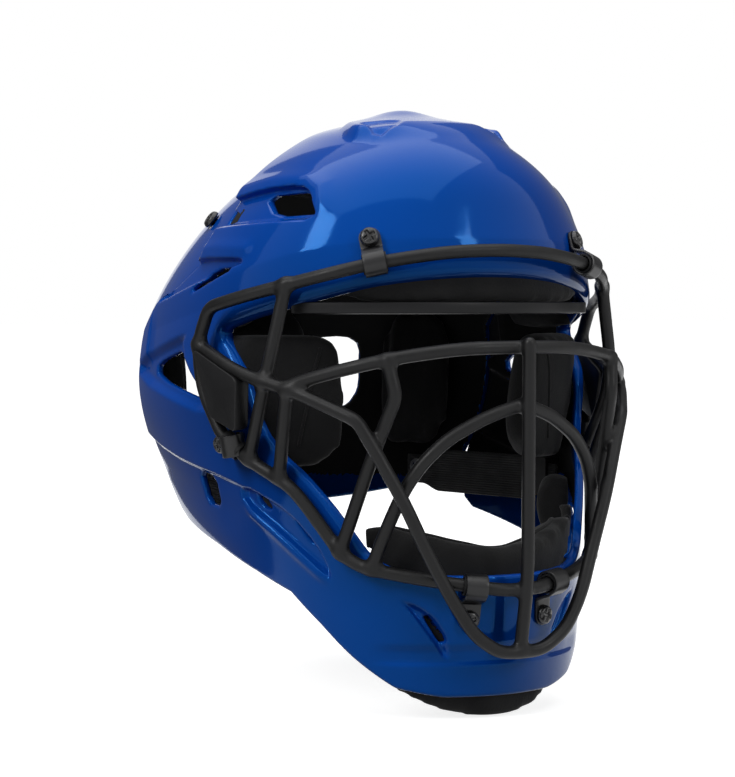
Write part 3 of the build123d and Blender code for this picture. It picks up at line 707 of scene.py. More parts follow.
@dataclass(frozen=True)
class SkullForm:
    """Plain outer surface of the helmet, as sections from the crown to the chin.

    Each row: height, half width, place of the widest point, front, rear, and the powers that square the front
    and the rear off.
    """

    rows: tuple[tuple[float, ...], ...] = (
        (132.9, 6.0, -27, -33.5, -20.5, 2.0, 2.0),
        (131.5, 17, -27, -48, -6, 2.0, 2.0),
        (127, 33, -27, -70, 14, 2.0, 2.0),
        (117, 53, -26, -90, 36, 2.05, 2.0),
        (100, 75, -24, -105, 62, 2.1, 2.1),
        (80, 90, -18, -112, 86, 2.15, 2.2),
        (60, 99, -10, -118, 107, 2.15, 2.25),
        (40, 104.5, 0, -121, 124, 2.15, 2.25),
        (20, 107, 8, -123, 134, 2.1, 2.25),
        (0, 107, 10, -125, 137, 2.0, 2.25),
        (-25, 102, 4, -128, 131, 1.9, 2.2),
        (-50, 95.5, -11, -130, 118, 1.87, 2.1),
        (-75, 88, -26, -131, 95, 1.87, 2.1),
        (-100, 82, -40, -129, 70, 1.9, 2.1),
        (-125, 78, -46, -126, 40, 1.92, 2.1),
        (-165, 74, -48, -121, 20, 1.92, 2.1),
    )
    peak: float = 133.6

    def sections(self, z: Array) -> Array:
        """Half width, widest place, front, rear and both powers at each height.

        Args:
            z: heights.

        Returns:
            One row for each height.
        """
        table = np.array(self.rows, float)
        depth = np.sqrt(self.peak - table[:, 0])
        at = np.sqrt(np.maximum(self.peak - z, depth[0] ** 2))
        return even_spline(depth, table[:, 1:], np.minimum(at, depth[-1]))

    def distance(self, places: Array) -> Array:
        """Rough distance to the surface, negative inside.

        Args:
            places: rows of x, y, z.

        Returns:
            One distance for each place.
        """
        x, y, z = places.T
        width, widest, front, rear, front_power, rear_power = self.sections(z).T
        ahead = y < widest
        power = np.where(ahead, front_power, rear_power)
        reach = np.where(ahead, widest - front, rear - widest)
        radius = (np.abs(x / width) ** power + np.abs((y - widest) / reach) ** power) ** (1 / power)
        plain = (radius - 1) * np.minimum(width, reach)
        return np.where(z > self.rows[0][0], np.maximum(plain, z - self.rows[0][0]), plain)

    def true_distance(self, places: Array, step: float = 0.5) -> Array:
        """Distance to the surface, evened out by the slope of the rough one.

        Args:
            places: rows of x, y, z.
            step: how far to each side the slope is read.

        Returns:
            One distance for each place.
        """
        slope = np.zeros(len(places))
        for axis in range(3):
            shift = np.zeros(3)
            shift[axis] = step
            slope += ((self.distance(places + shift) - self.distance(places - shift)) / (2 * step)) ** 2
        return self.distance(places) / np.maximum(np.sqrt(slope), 0.25)

    def point(self, z: float, turn: float, inset: float = 0.0) -> Array:
        """Place on the surface at a height and a turn in degrees from the front, moved inwards by inset.

        Args:
            z: height.
            turn: degrees from the front.
            inset: distance inwards.

        Returns:
            The place.
        """
        width, widest, front, rear, front_power, rear_power = self.sections(np.array([z]))[0]
        width, front, rear = width - inset, front + inset, rear - inset
        across, ahead = math.sin(math.radians(turn)), -math.cos(math.radians(turn))
        power = 2 / (front_power if ahead < 0 else rear_power)
        reach = widest - front if ahead < 0 else rear - widest
        return np.array([math.copysign(width * abs(across) ** power, across),
                         widest + math.copysign(reach * abs(ahead) ** power, ahead), z])


@dataclass
class Grid:
    """Values on an even grid, read anywhere through cubic splines."""

    values: Array
    origin: Array
    step: float

    @staticmethod
    def weights(f: Array) -> tuple[list[Array], list[Array]]:
        """Cubic spline weights and their slopes for a share f of a cell.

        Args:
            f: shares.

        Returns:
            Four weights and their four slopes.
        """
        g = 1 - f
        weights = [g ** 3 / 6, (4 - 6 * f ** 2 + 3 * f ** 3) / 6, (4 - 6 * g ** 2 + 3 * g ** 3) / 6,
                   f ** 3 / 6]
        slopes = [-g ** 2 / 2, (9 * f ** 2 - 12 * f) / 6, (12 * g - 9 * g ** 2) / 6, f ** 2 / 2]
        return weights, slopes

    def read(self, places: Array) -> tuple[Array, Array]:
        """Smooth value and gradient.

        Args:
            places: places as rows of x, y, z, with x positive or zero.

        Returns:
            Values, and gradients as rows.
        """
        spot = (places - self.origin) / self.step
        limit = np.array(self.values.shape) - 3
        cell = np.clip(np.floor(spot).astype(int), 1, limit)
        parts = [self.weights(np.clip(spot[:, a] - cell[:, a], 0, 1)) for a in range(3)]
        flat = self.values.ravel()
        _, ny, nz = self.values.shape
        total = np.zeros(len(places))
        slope = np.zeros((len(places), 3))
        for i in range(4):
            for j in range(4):
                row = ((cell[:, 0] + i - 1) * ny + cell[:, 1] + j - 1) * nz + cell[:, 2] - 1
                for k in range(4):
                    value = flat[row + k]
                    wi, wj, wk = parts[0][0][i], parts[1][0][j], parts[2][0][k]
                    total += wi * wj * wk * value
                    slope[:, 0] += parts[0][1][i] * wj * wk * value
                    slope[:, 1] += wi * parts[1][1][j] * wk * value
                    slope[:, 2] += wi * wj * parts[2][1][k] * value
        return total, slope / self.step

    def read_both(self, places: Array) -> tuple[Array, Array]:
        """Smooth value and gradient on either side, from a grid that covers the wearer's left.

        Args:
            places: rows of x, y, z.

        Returns:
            Values, and gradients as rows.
        """
        near = places.copy()
        near[:, 0] = np.abs(near[:, 0])
        value, slope = self.read(near)
        slope[:, 0] *= np.where(places[:, 0] < 0, -1.0, 1.0)
        return value, slope

    def refined(self, step: float, origin: Array, shape: tuple[int, int, int]) -> Array:
        """Values on a finer grid, by the same splines.

        Args:
            step: step of the finer grid.
            origin: its first place.
            shape: its size.

        Returns:
            The values.
        """
        result = self.values
        for axis in range(3):
            spot = (origin[axis] + step * np.arange(shape[axis]) - self.origin[axis]) / self.step
            cell = np.clip(np.floor(spot).astype(int), 1, self.values.shape[axis] - 3)
            weights, _ = self.weights(np.clip(spot - cell, 0, 1))
            matrix = np.zeros((shape[axis], self.values.shape[axis]), np.float32)
            for k in range(4):
                matrix[np.arange(shape[axis]), cell + k - 1] += weights[k]
            result = np.moveaxis(np.tensordot(matrix, result, (1, axis)), 0, axis)
        return result


def grid_axes(low: Triple, high: Triple, step: float) -> tuple[Array, tuple[int, int, int]]:
    """Origin and size of a grid on the wearer's left, whose first plane lies half a step past the middle.

    Args:
        low: lowest corner.
        high: highest corner.
        step: grid step.

    Returns:
        Origin and size.
    """
    origin = np.array([-step / 2, low[1], low[2]])
    shape = tuple(int(math.ceil((high[a] - origin[a]) / step)) + 1 for a in range(3))
    return origin, shape


def grid_places(origin: Array, step: float, shape: tuple[int, int, int]) -> Array:
    """Every place of a grid as rows of x, y, z."""
    axes = [origin[a] + step * np.arange(shape[a]) for a in range(3)]
    return np.stack(np.meshgrid(*axes, indexing="ij"), -1).reshape(-1, 3)


def surface_net(grid: Grid) -> tuple[Array, Array]:
    """Mesh the zero surface of a grid that covers the wearer's left.

    Args:
        grid: values that are negative inside.

    Returns:
        Vertices in millimetres and quads, facing outwards, open at the middle plane.
    """
    values = grid.values
    inside = values < 0
    size = [n - 1 for n in values.shape]
    count = np.zeros(size, np.uint8)
    steps = [(i, j, k) for i in (0, 1) for j in (0, 1) for k in (0, 1)]
    for i, j, k in steps:
        count += inside[i:i + size[0], j:j + size[1], k:k + size[2]]
    cells = np.argwhere((count > 0) & (count < 8))
    index = np.full(size, -1, np.int32)
    index[tuple(cells.T)] = np.arange(len(cells))
    corner = {s: values[cells[:, 0] + s[0], cells[:, 1] + s[1], cells[:, 2] + s[2]] for s in steps}
    total = np.zeros((len(cells), 3))
    hits = np.zeros(len(cells))
    for a in steps:
        for axis in range(3):
            if a[axis]:
                continue
            b = tuple(1 if axis == n else a[n] for n in range(3))
            cut = (corner[a] < 0) != (corner[b] < 0)
            share = np.where(cut, corner[a] / np.where(cut, corner[a] - corner[b], 1.0), 0.0)
            spot = np.tile(np.array(a, float), (len(cells), 1))
            spot[:, axis] += share
            total += spot * cut[:, None]
            hits += cut
    vertices = (cells + total / hits[:, None]) * grid.step + grid.origin
    vertices[cells[:, 0] == 0, 0] = 0.0
    quads = []
    for axis in range(3):
        ahead = [slice(None)] * 3
        behind = [slice(None)] * 3
        ahead[axis], behind[axis] = slice(1, None), slice(None, -1)
        changes = inside[tuple(ahead)] != inside[tuple(behind)]
        nodes = np.argwhere(changes)
        u, v = [a for a in range(3) if a != axis]
        p, q = nodes[:, u], nodes[:, v]
        nodes = nodes[(p > 0) & (q > 0) & (p < size[u]) & (q < size[v])]
        around = []
        for du, dv in ((-1, -1), (0, -1), (0, 0), (-1, 0)):
            spot = nodes.copy()
            spot[:, u] += du
            spot[:, v] += dv
            around.append(index[tuple(spot.T)])
        faces = np.stack(around, 1)
        faces = faces[:, ::-1] if axis == 1 else faces
        flip = ~inside[tuple(nodes.T)]
        faces[flip] = faces[flip][:, ::-1]
        quads.append(faces)
    return vertices, np.concatenate(quads)


def mesh_of(name: str, vertices: Array, faces: Sequence[Sequence[int]]) -> Mesh:
    """Mesh from vertices in millimetres.

    Args:
        name: name of the mesh.
        vertices: rows of x, y, z.
        faces: rows of vertex numbers.

    Returns:
        The mesh, smooth shaded.
    """
    mesh = bpy.data.meshes.new(name)
    mesh.from_pydata((np.asarray(vertices, float) * MM).tolist(), [], faces)
    mesh.update()
    mesh.shade_smooth()
    return mesh


def linked(name: str, data: ID) -> Object:
    """New object in the scene.

    Args:
        name: its name.
        data: its data.

    Returns:
        The object.
    """
    obj = bpy.data.objects.new(name, data)
    bpy.context.scene.collection.objects.link(obj)
    return obj


def applied(obj: Object) -> Object:
    """Turn an object's modifiers into its plain mesh.

    Args:
        obj: the object.

    Returns:
        The same object.
    """
    graph = bpy.context.evaluated_depsgraph_get()
    graph.update()
    mesh = bpy.data.meshes.new_from_object(obj.evaluated_get(graph))
    old = obj.data
    obj.modifiers.clear()
    obj.data = mesh
    bpy.data.meshes.remove(old)
    return obj


def bevelled(obj: Object, width: float) -> Object:
    """Round an object's sharp edges by a width in millimetres and make its modifiers plain.

    Args:
        obj: the object.
        width: width of the bevel.

    Returns:
        The same object.
    """
    bevel = obj.modifiers.new("edges", "BEVEL")
    bevel.width = width * MM
    bevel.segments = 2
    bevel.limit_method = "ANGLE"
    return applied(obj)


def vertex_array(mesh: Mesh) -> Array:
    """Vertices of a mesh in millimetres.

    Args:
        mesh: the mesh.

    Returns:
        Rows of x, y, z.
    """
    places = np.zeros(len(mesh.vertices) * 3)
    mesh.vertices.foreach_get("co", places)
    return places.reshape(-1, 3) / MM


def set_vertices(mesh: Mesh, places: Array) -> None:
    """Write a mesh's vertices, given in millimetres."""
    mesh.vertices.foreach_set("co", (places * MM).ravel())
    mesh.update()


def dress(obj: Object, material: Material) -> Object:
    """Give an object one material.

    Args:
        obj: the object.
        material: its material.

    Returns:
        The same object.
    """
    obj.data.materials.clear()
    obj.data.materials.append(material)
    return obj


def fix_normals(obj: Object) -> None:
    """Merge doubles and point every face outwards.

    Args:
        obj: the object.
    """
    work = bmesh.new()
    work.from_mesh(obj.data)
    bmesh.ops.remove_doubles(work, verts=work.verts, dist=DOUBLES)
    bmesh.ops.recalc_face_normals(work, faces=work.faces)
    work.to_mesh(obj.data)
    work.free()
    obj.data.update()


def loft_faces(rings: int, count: int, closed: bool = True) -> list[list[int]]:
    """Quads between rings of points that follow each other.

    Args:
        rings: number of rings.
        count: points in a ring.
        closed: whether the rings close on themselves.

    Returns:
        Rows of vertex numbers.
    """
    return [[i * count + j, i * count + (j + 1) % count, (i + 1) * count + (j + 1) % count,
             (i + 1) * count + j]
            for i in range(rings - 1) for j in range(count if closed else count - 1)]


def swept(name: str, rows: Sequence[Sequence[Array]], edge: float = 0.25) -> Object:
    """Closed mesh through rings of points, capped at both ends.

    Args:
        name: name of the object.
        rows: rings with the same number of points each.
        edge: width of its bevel.

    Returns:
        The smooth shaded object.
    """
    count = len(rows[0])
    faces = loft_faces(len(rows), count)
    faces += [list(range(count)), list(range((len(rows) - 1) * count, len(rows) * count))]
    obj = linked(name, mesh_of(name, np.concatenate(rows), faces))
    fix_normals(obj)
    bevelled(obj, edge)
    obj.data.shade_smooth()
    return obj


def rim_of(faces: list[list[int]], count: int) -> Array:
    """Mask of the vertices on open edges.

    Args:
        faces: rows of vertex numbers.
        count: number of vertices.

    Returns:
        True for each vertex on an edge that only one face has.
    """
    uses: dict[tuple[int, int], int] = {}
    for face in faces:
        for a, b in zip(face, face[1:] + face[:1]):
            key = (a, b) if a < b else (b, a)
            uses[key] = uses.get(key, 0) + 1
    rim = np.zeros(count, bool)
    rim[[v for key, number in uses.items() if number == 1 for v in key]] = True
    return rim


def field_piece(name: str, grid: Grid, triangles: int) -> Object:
    """Symmetric object from the zero surface of a grid that covers the wearer's left.

    Args:
        name: name of the object.
        grid: values that are negative inside.
        triangles: most triangles that the whole object may have.

    Returns:
        The object, with normals read from the grid.
    """
    vertices, quads = surface_net(grid)
    value, slope = grid.read(vertices)
    steep = np.maximum((slope ** 2).sum(1), LEAST_STEEP)
    middle = vertices[:, 0] == 0
    vertices = vertices + capped(-slope * (value / steep)[:, None], NET_REACH * grid.step)
    vertices[middle, 0] = 0.0
    half = linked(name, mesh_of(name, vertices, quads.tolist()))
    share = triangles / (len(quads) * 4)
    if share < 1:
        half.modifiers.new("thin", "DECIMATE").ratio = share * THIN_MARGIN
        applied(half)
    places = vertex_array(half.data)
    faces = [list(p.vertices) for p in half.data.polygons]
    bpy.data.objects.remove(half)
    rim = rim_of(faces, len(places)) & (np.abs(places[:, 0]) < grid.step)
    places[rim, 0] = 0.0
    twin = np.where(rim, np.arange(len(places)), len(places) + np.cumsum(~rim) - 1)
    every = np.concatenate([places, places[~rim] * (-1, 1, 1)])
    both = faces + [[int(twin[v]) for v in reversed(face)] for face in faces]
    obj = linked(name, mesh_of(name, every, both))
    _, slope = grid.read_both(every)
    slope[every[:, 0] == 0, 0] = 0.0
    obj.data.normals_split_custom_set_from_vertices(unit(slope).tolist())
    LOG.info("%s: %d faces", name, len(obj.data.polygons))
    return obj


@dataclass(frozen=True)
class Mount:
    """Where a screw stands, which way it looks, and the wire that its clip holds."""

    name: str
    place: Triple
    out: Triple
    wire: Optional[Triple] = None

    def frame(self, side: int) -> tuple[Array, Array, Array, Array]:
        """Place and the axes towards the wire, across and out, on one side.

        Args:
            side: 1 for the wearer's left, -1 for the right.

        Returns:
            The place and three unit vectors.
        """
        flip = np.array((side, 1, 1), float)
        place, out = np.array(self.place) * flip, np.array(self.out) * flip
        out /= np.linalg.norm(out)
        toward = (np.array(self.wire) * flip - place) if self.wire else np.array((0.0, 0.0, 1.0))
        toward = toward - out * (toward @ out)
        toward /= np.linalg.norm(toward)
        return place, toward, np.cross(out, toward), out


CLIP_MOUNTS = (
    Mount("brow", (55.52, -98.3, 71.82), (0.5496, -0.7751, 0.3117), (58.14, -107.22, 60.46)),
    Mount("side", (96.77, -33.81, -22.94), (0.9458, -0.2663, -0.1859), (99.62, -48.12, -22.94)),
    Mount("chin", (19.67, -125.32, -100.36), (0.3282, -0.9413, -0.0785), (21.11, -133.4, -84.64)),
)
PIVOT_MOUNT = Mount("pivot", (83.83, 10.92, 85.12), (0.7745, 0.1739, 0.6082))


@dataclass
class HelmetShells:
    """The front and the rear shell: one skull form with its own cuts, recesses, ridges and rims."""

    form: SkullForm
    coarse_step: float = 4.0
    step: float = 1.0
    wall: float = 3.5
    rim: float = 1.1
    rear_inset: float = 4.6
    low: Triple = (0.0, -142.0, -152.0)
    high: Triple = (116.0, 146.0, 145.0)
    front_triangles: int = 196000
    rear_triangles: int = 110000
    front_outline: Outline = Outline(View.SIDE, (
        (-14, 173), (-14, 101.5), (-12, 80), (-8.5, 65.4), (0, 60), (33, 42), (44, 30), (47, 0), (48, -20),
        (45, -45), (38, -60), (30, -65), (-9.4, -73.3), (-43.5, -83.2), (-64.7, -90.7), (-80.1, -104.7),
        (-92.8, -118.7), (-106.3, -132.2), (-117.3, -136.4), (-175, -139), (-175, 173)))
    port: Outline = Outline(View.SIDE, (
        (-175, 55.6), (-117.5, 55.6), (-108.4, 52.5), (-93.6, 47.7), (-75.5, 41.4), (-50.4, 34.4),
        (-37.5, 30.4), (-35.5, 28), (-43.1, 20), (-51.5, 7.2), (-57.2, -15.7), (-65.1, -26.9), (-75.1, -35.6),
        (-85.9, -48.8), (-92.9, -59.9), (-100, -72.3), (-109.1, -78.7), (-122.9, -80.6), (-175, -82.8)),
        rounds=1)
    window: Outline = Outline(View.SIDE, ((26, 13.3), (-1.9, 20.7), (-22.7, 0.9), (-27.3, -5.1), (25.5, 6.9)),
                              rounds=1)
    strap_slot: Outline = Outline(View.SIDE, ((-7.0, -36.8), (-20.5, -39.6), (-21.0, -53.9), (-8.3, -52.8)),
                                  rounds=1)
    vents: tuple[Outline, ...] = (
        Outline(View.SIDE, ((-36.5, 92.3), (-64.5, 93.7), (-75.1, 83.7), (-50.9, 82.4)), rounds=1),
        Outline(View.SIDE, ((-1.5, 84.5), (-15.8, 86.8), (-24.8, 80.4), (-6.3, 79.5)), rounds=1),
        Outline(View.SIDE, ((-7.5, 46.8), (-21.6, 58.2), (-42.6, 59.4), (-21.3, 51.2)), rounds=1),
        Outline(View.SIDE, ((-46.8, -46.4), (-52.5, -47.3), (-56.0, -53.4), (-49.8, -51.7)), rounds=1),
        Outline(View.SIDE, ((-67.5, -56.7), (-71.5, -57.5), (-78.8, -68.4), (-74.0, -66.4)), rounds=1),
    )
    chin_vent: Outline = Outline(View.FRONT, ((37.4, -98.4), (34.8, -98.8), (27.6, -110.0), (29.9, -111.6)),
                                 rounds=1)
    recesses: tuple[Recess, ...] = (
        Recess(Outline(View.SIDE, (
            (-4, 91.5), (-40.5, 97.0), (-60, 97.6), (-68, 94.2), (-78.5, 80.5), (-46.4, 79.3), (-3, 77.5)),
            rounds=1), 4.2, 2.2, 0.02),
        Recess(Outline(View.SIDE, (
            (4, 61.5), (-10, 64.5), (-44.7, 64), (-47.5, 60.4), (31.6, 40.7), (22, 49)), rounds=1), 4.0, 2.2),
        Recess(Outline(View.SIDE, (
            (46, 15.5), (-11, 30.5), (-4.0, 21.8), (-24.2, 1.5), (-31.5, -12.4), (44.6, 5.0)), rounds=1),
            3.4, 5.0),
        Recess(Outline(View.SIDE, (
            (-39.5, -44.5), (-41, -43), (-48, -43), (-68, -53), (-81, -68), (-87, -82.5), (-84.5, -82.8),
            (-61, -63.5), (-40, -49.5)), rounds=1), 3.2, 2.2),
        Recess(Outline(View.FRONT, (
            (48.5, -90.5), (39.0, -94.0), (31.0, -101.5), (25.6, -116.5), (28.0, -120), (37.5, -106.5),
            (42.5, -98.5)), rounds=1), 2.4, 2.4),
    )
    ridges: tuple[Ridge, ...] = (
        Ridge(Crease(View.SIDE, ((-2, 96.0), (-40.5, 101.2), (-61, 101.0), (-71, 96.5), (-82.0, 80.0))),
              1.0, 3.2),
        Ridge(Crease(View.SIDE, ((-40, -51.5), (-50, -57.8), (-61, -66.0), (-73.0, -75.5), (-87.0, -86.5))),
              0.9, 1.6),
        Ridge(Crease(View.SIDE, ((-4, 68.0), (-20, 69.5), (-52, 68.0))), 0.7, 3.0),
    )
    brow_edge: Crease = Crease(View.SIDE, (
        (31.6, 41.7), (-17.7, 51.2), (-52.5, 59.3), (-70, 64.6), (-84, 68.0), (-100, 71.0), (-125, 73.0)))
    step_line: Crease = Crease(View.SIDE, (
        (70, -18), (50, -21.5), (32, -27.0), (10, -32.0), (-7, -35.0), (-22, -37.6), (-40, -42.0),
        (-54, -46.0)))
    hood: Outline = Outline(View.TOP, (
        (0.0, -88.0), (14.0, -87.0), (39.5, -75.5), (46.0, -58.0), (35.0, -30.0), (16.0, -14.0),
        (0.0, -12.0), (-20, -20.0), (-20, -88.0)), rounds=1)
    hood_scoop: Outline = Outline(View.TOP, ((37.0, -72.0), (20.0, -71.0), (17.0, -60.0), (37.0, -50.0)),
                                  rounds=1)
    rear_outline: Outline = Outline(View.SIDE, (
        (-16.0, 173), (-16.0, 101.5), (-14.0, 80), (-10.5, 65.4), (-3.0, 60), (28.4, 42), (39.4, 30),
        (42.4, 0), (43.6, -20), (46.6, -41.7), (62.4, -52.8), (92.9, -62.5), (180, -65.3), (180, 173)))
    rear_slot: Outline = Outline(View.FRONT, ((23.0, 22.6), (58.3, 25.3), (60.0, -2.8), (51.4, -15.3),
                                              (25.1, -13.9)), rounds=2)
    front_band: tuple[float, float] = (-16.0, 9.0)
    rear_band: tuple[float, float] = (-16.0, 4.0)
    rear_start: float = -22.0
    hole_radius: float = 2.35
    hole_round: float = 0.6
    hole_reach: float = 25.0
    pivot_radius: float = 2.9
    brow_slope: float = 0.13
    brow_depth: float = 1.6
    step_depth: float = 1.9
    hood_lift: float = 4.6
    scoop_depth: float = 2.4
    chin_depth: float = 1.1
    lip_roll: float = 5.2
    lip_round: float = 4.4
    cut_round: float = 0.8
    slot_round: float = 0.9
    cut_reach: float = 20.0
    lining_lows: tuple[float, float] = (-56.0, -50.0)
    lining_margin: float = 9.0
    lining_cut: float = 1.0
    lining_facing: float = -0.55
    lining_depth: float = 0.7
    quick_step: float = 1.8
    base: Optional[Grid] = None

    def prepare(self) -> None:
        """Work out the plain surface on a coarse grid and soften its row lines."""
        step = self.coarse_step
        low = tuple(v - 3 * step for v in self.low)
        origin, shape = grid_axes(low, tuple(v + 3 * step for v in self.high), step)
        origin[0] -= 4 * step
        shape = (shape[0] + 4, shape[1], shape[2])
        values = self.form.true_distance(grid_places(origin, step, shape)).reshape(shape)
        values = np.clip(values, -40.0, 40.0)
        for axis in range(3):
            count = shape[axis]
            for _ in range(2):
                ends = [np.take(values, [0], axis), values, np.take(values, [-1], axis)]
                padded = np.concatenate(ends, axis)
                values = (np.take(padded, range(count), axis) + 2 * values
                          + np.take(padded, range(2, count + 2), axis)) / 4
        self.base = Grid(values.astype(np.float32), origin, step)

    @staticmethod
    def evened(values: Array, shape: tuple[int, int, int], cells: Array, step: float) -> Array:
        """Turn a field that is steep on slopes into a distance, so that walls keep their thickness there.

        Args:
            values: field at the cells.
            shape: size of the whole grid.
            cells: indices of the cells.
            step: grid step.

        Returns:
            The field divided by its own slope.
        """
        whole = np.full(shape, np.nan, np.float32)
        index = tuple(cells.T)
        whole[index] = values
        steep = np.zeros(len(values), np.float32)
        for axis in range(3):
            slope = np.gradient(whole, step, axis=axis)[index]
            steep += np.nan_to_num(slope, nan=0.0) ** 2
        return values / np.clip(np.sqrt(steep), 1.0, 4.0)

    def band(self, low: float, high: float, step: float) -> tuple[Array, tuple[int, int, int], Array, Array]:
        """Fine grid places whose distance to the plain surface lies between two limits.

        Args:
            low: nearest distance.
            high: farthest distance.
            step: grid step.

        Returns:
            Origin and size of the grid, the cells and their distances.
        """
        origin, shape = grid_axes(self.low, self.high, step)
        plain = self.base.refined(step, origin, shape)
        near = (plain > low) & (plain < high)
        cells = np.argwhere(near)
        return origin, shape, cells, plain[near].astype(float)

    @staticmethod
    def solid_grid(solid: Array, shape: tuple[int, int, int], cells: Array, origin: Array,
                   step: float) -> Grid:
        """Grid of a field that is known at some cells and lies outside the solid elsewhere.

        Args:
            solid: field at the cells.
            shape: size of the grid.
            cells: indices of the cells.
            origin: first place of the grid.
            step: grid step.

        Returns:
            The grid.
        """
        values = np.full(shape, 2.0 * step, np.float32)
        values[tuple(cells.T)] = np.clip(solid, -3 * step, 3 * step)
        return Grid(values, origin, step)

    def drilled(self, solid: Array, places: Array, mount: Mount, radius: float) -> Array:
        """Cut a round hole along a screw's axis.

        Args:
            solid: field at the places, changed in place.
            places: rows of x, y, z.
            mount: the screw.
            radius: radius of the hole.

        Returns:
            The same field.
        """
        centre, axis = np.array(mount.place), np.array(mount.out)
        away = places - centre
        near = np.linalg.norm(away, axis=1) < self.hole_reach
        part = away[near]
        gap = np.linalg.norm(part - np.outer(part @ axis, axis), axis=1) - radius
        solid[near] = smooth_max(solid[near], -gap, self.hole_round)
        return solid

    def outer(self, places: Array, plain: Array) -> Array:
        """Distance to the front shell's dressed outer surface.

        Args:
            places: rows of x, y, z.
            plain: distance to the plain surface.

        Returns:
            One distance for each place.
        """
        x, y, z = places.T
        raised = np.zeros(len(places))
        for recess in self.recesses:
            raised -= recess.sink(places)
        for ridge in self.ridges:
            raised += ridge.rise(places)
        below, _ = self.brow_edge.distance(places)
        drop = np.maximum(below, 0.0) * (y < 34) * smooth_step(-90, -55, z)
        fade = smooth_step(8.0, 22.0, z) * smooth_step(40.0, 26.0, y)
        raised -= fade * np.minimum(self.brow_slope * drop, self.brow_depth)
        under, share = self.step_line.distance(places)
        lower = smooth_step(-0.6, 1.2, under) * smooth_step(1.0, 0.78, share) * smooth_step(34.0, 12.0, under)
        raised -= self.step_depth * lower * smooth_step(-60, -40, y)
        high = z > 80
        inside = -self.hood.distance(places[high], 12.0)
        soft = 6.5 + 22.0 * smooth_step(-56.0, -84.0, y[high])
        lift = self.hood_lift * smooth_step(0.0, 1.0, inside / soft) * smooth_step(-14.0, -44.0, y[high])
        lift -= self.scoop_depth * smooth_step(0.0, 3.0, -self.hood_scoop.distance(places[high], 6.0))
        raised[high] += lift
        chin = smooth_step(-122.0, -119.5, z) * smooth_step(-111.0, -116.0, z)
        chin = chin * smooth_step(60.0, 45.0, np.abs(x))
        raised -= self.chin_depth * chin * smooth_step(-95.0, -105.0, y)
        return plain - raised

    def front_grid(self, step: float) -> Grid:
        """Field of the front shell.

        Args:
            step: grid step.

        Returns:
            The field.
        """
        origin, shape, cells, plain = self.band(*self.front_band, step)
        places = origin + cells * step
        outer = self.evened(self.outer(places, plain), shape, cells, step)
        port = -self.port.distance(places)
        brow = smooth_step(-8.0, 24.0, places[:, 2])
        lip = smooth_step(-11.0, -4.0, port) * (0.15 + 0.85 * brow)
        solid = np.maximum(outer, -(outer + self.wall + self.lip_roll * lip))
        solid = smooth_max(solid, port, self.rim + self.lip_round * brow)
        solid = smooth_max(solid, self.front_outline.distance(places), self.rim)
        for cut in (self.window, self.strap_slot, self.chin_vent) + self.vents:
            solid = smooth_max(solid, -cut.distance(places, self.cut_reach), self.cut_round)
        for mount in CLIP_MOUNTS:
            solid = self.drilled(solid, places, mount, self.hole_radius)
        return self.solid_grid(solid, shape, cells, origin, step)

    def rear_grid(self, step: float) -> Grid:
        """Field of the rear shell.

        Args:
            step: grid step.

        Returns:
            The field.
        """
        origin, shape, cells, plain = self.band(*self.rear_band, step)
        keep = (origin + cells * step)[:, 1] > self.rear_start
        cells, plain = cells[keep], plain[keep] + self.rear_inset
        places = origin + cells * step
        solid = np.maximum(plain, -(plain + self.wall))
        solid = smooth_max(solid, self.rear_outline.distance(places), self.rim)
        solid = smooth_max(solid, -self.rear_slot.distance(places, self.cut_reach), self.slot_round)
        solid = self.drilled(solid, places, PIVOT_MOUNT, self.pivot_radius)
        return self.solid_grid(solid, shape, cells, origin, step)

    def line_inside(self, piece: Object, inset: float, low: float,
                    liner: Material) -> None:
        """Give the inner wall its black lining, away from the openings and the lower rim.

        Args:
            piece: the shell.
            inset: how far its outer surface lies inside the plain one.
            low: height at which the lining ends.
            liner: finish of the lining.
        """
        polygons = piece.data.polygons
        piece.data.materials.append(liner)
        centres = np.empty(len(polygons) * 3)
        normals = np.empty(len(polygons) * 3)
        polygons.foreach_get("center", centres)
        polygons.foreach_get("normal", normals)
        places = centres.reshape(-1, 3) / MM
        value, slope = self.base.read_both(places)
        facing = (normals.reshape(-1, 3) * slope).sum(1) / np.maximum(np.linalg.norm(slope, axis=1), TINY)
        lined = (value < -inset - self.wall * self.lining_depth) & (facing < self.lining_facing)
        lined &= (places[:, 2] > low) & (self.port.distance(places) > self.lining_margin)
        for cut in (self.window,) + self.vents[:3]:
            lined &= cut.distance(places, self.cut_reach) > self.lining_cut
        polygons.foreach_set("material_index", lined.astype(np.int32))
        piece.data.update()

    def build(self, finish: Material, liner: Material) -> None:
        """Make both shells.

        Args:
            finish: material of the shells.
            liner: finish of their lining.
        """
        step = self.step * 1.0
        for node, body, grid, limit, inset, low in (
                ("front_shell", "front", self.front_grid, self.front_triangles, 0.0, self.lining_lows[0]),
                ("rear_shell", "rear", self.rear_grid, self.rear_triangles, self.rear_inset,
                 self.lining_lows[1])):
            piece = dress(field_piece(node + "_moulded", grid(step), limit), finish)
            self.line_inside(piece, inset, low, liner)
            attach(piece, body)
            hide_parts(node)


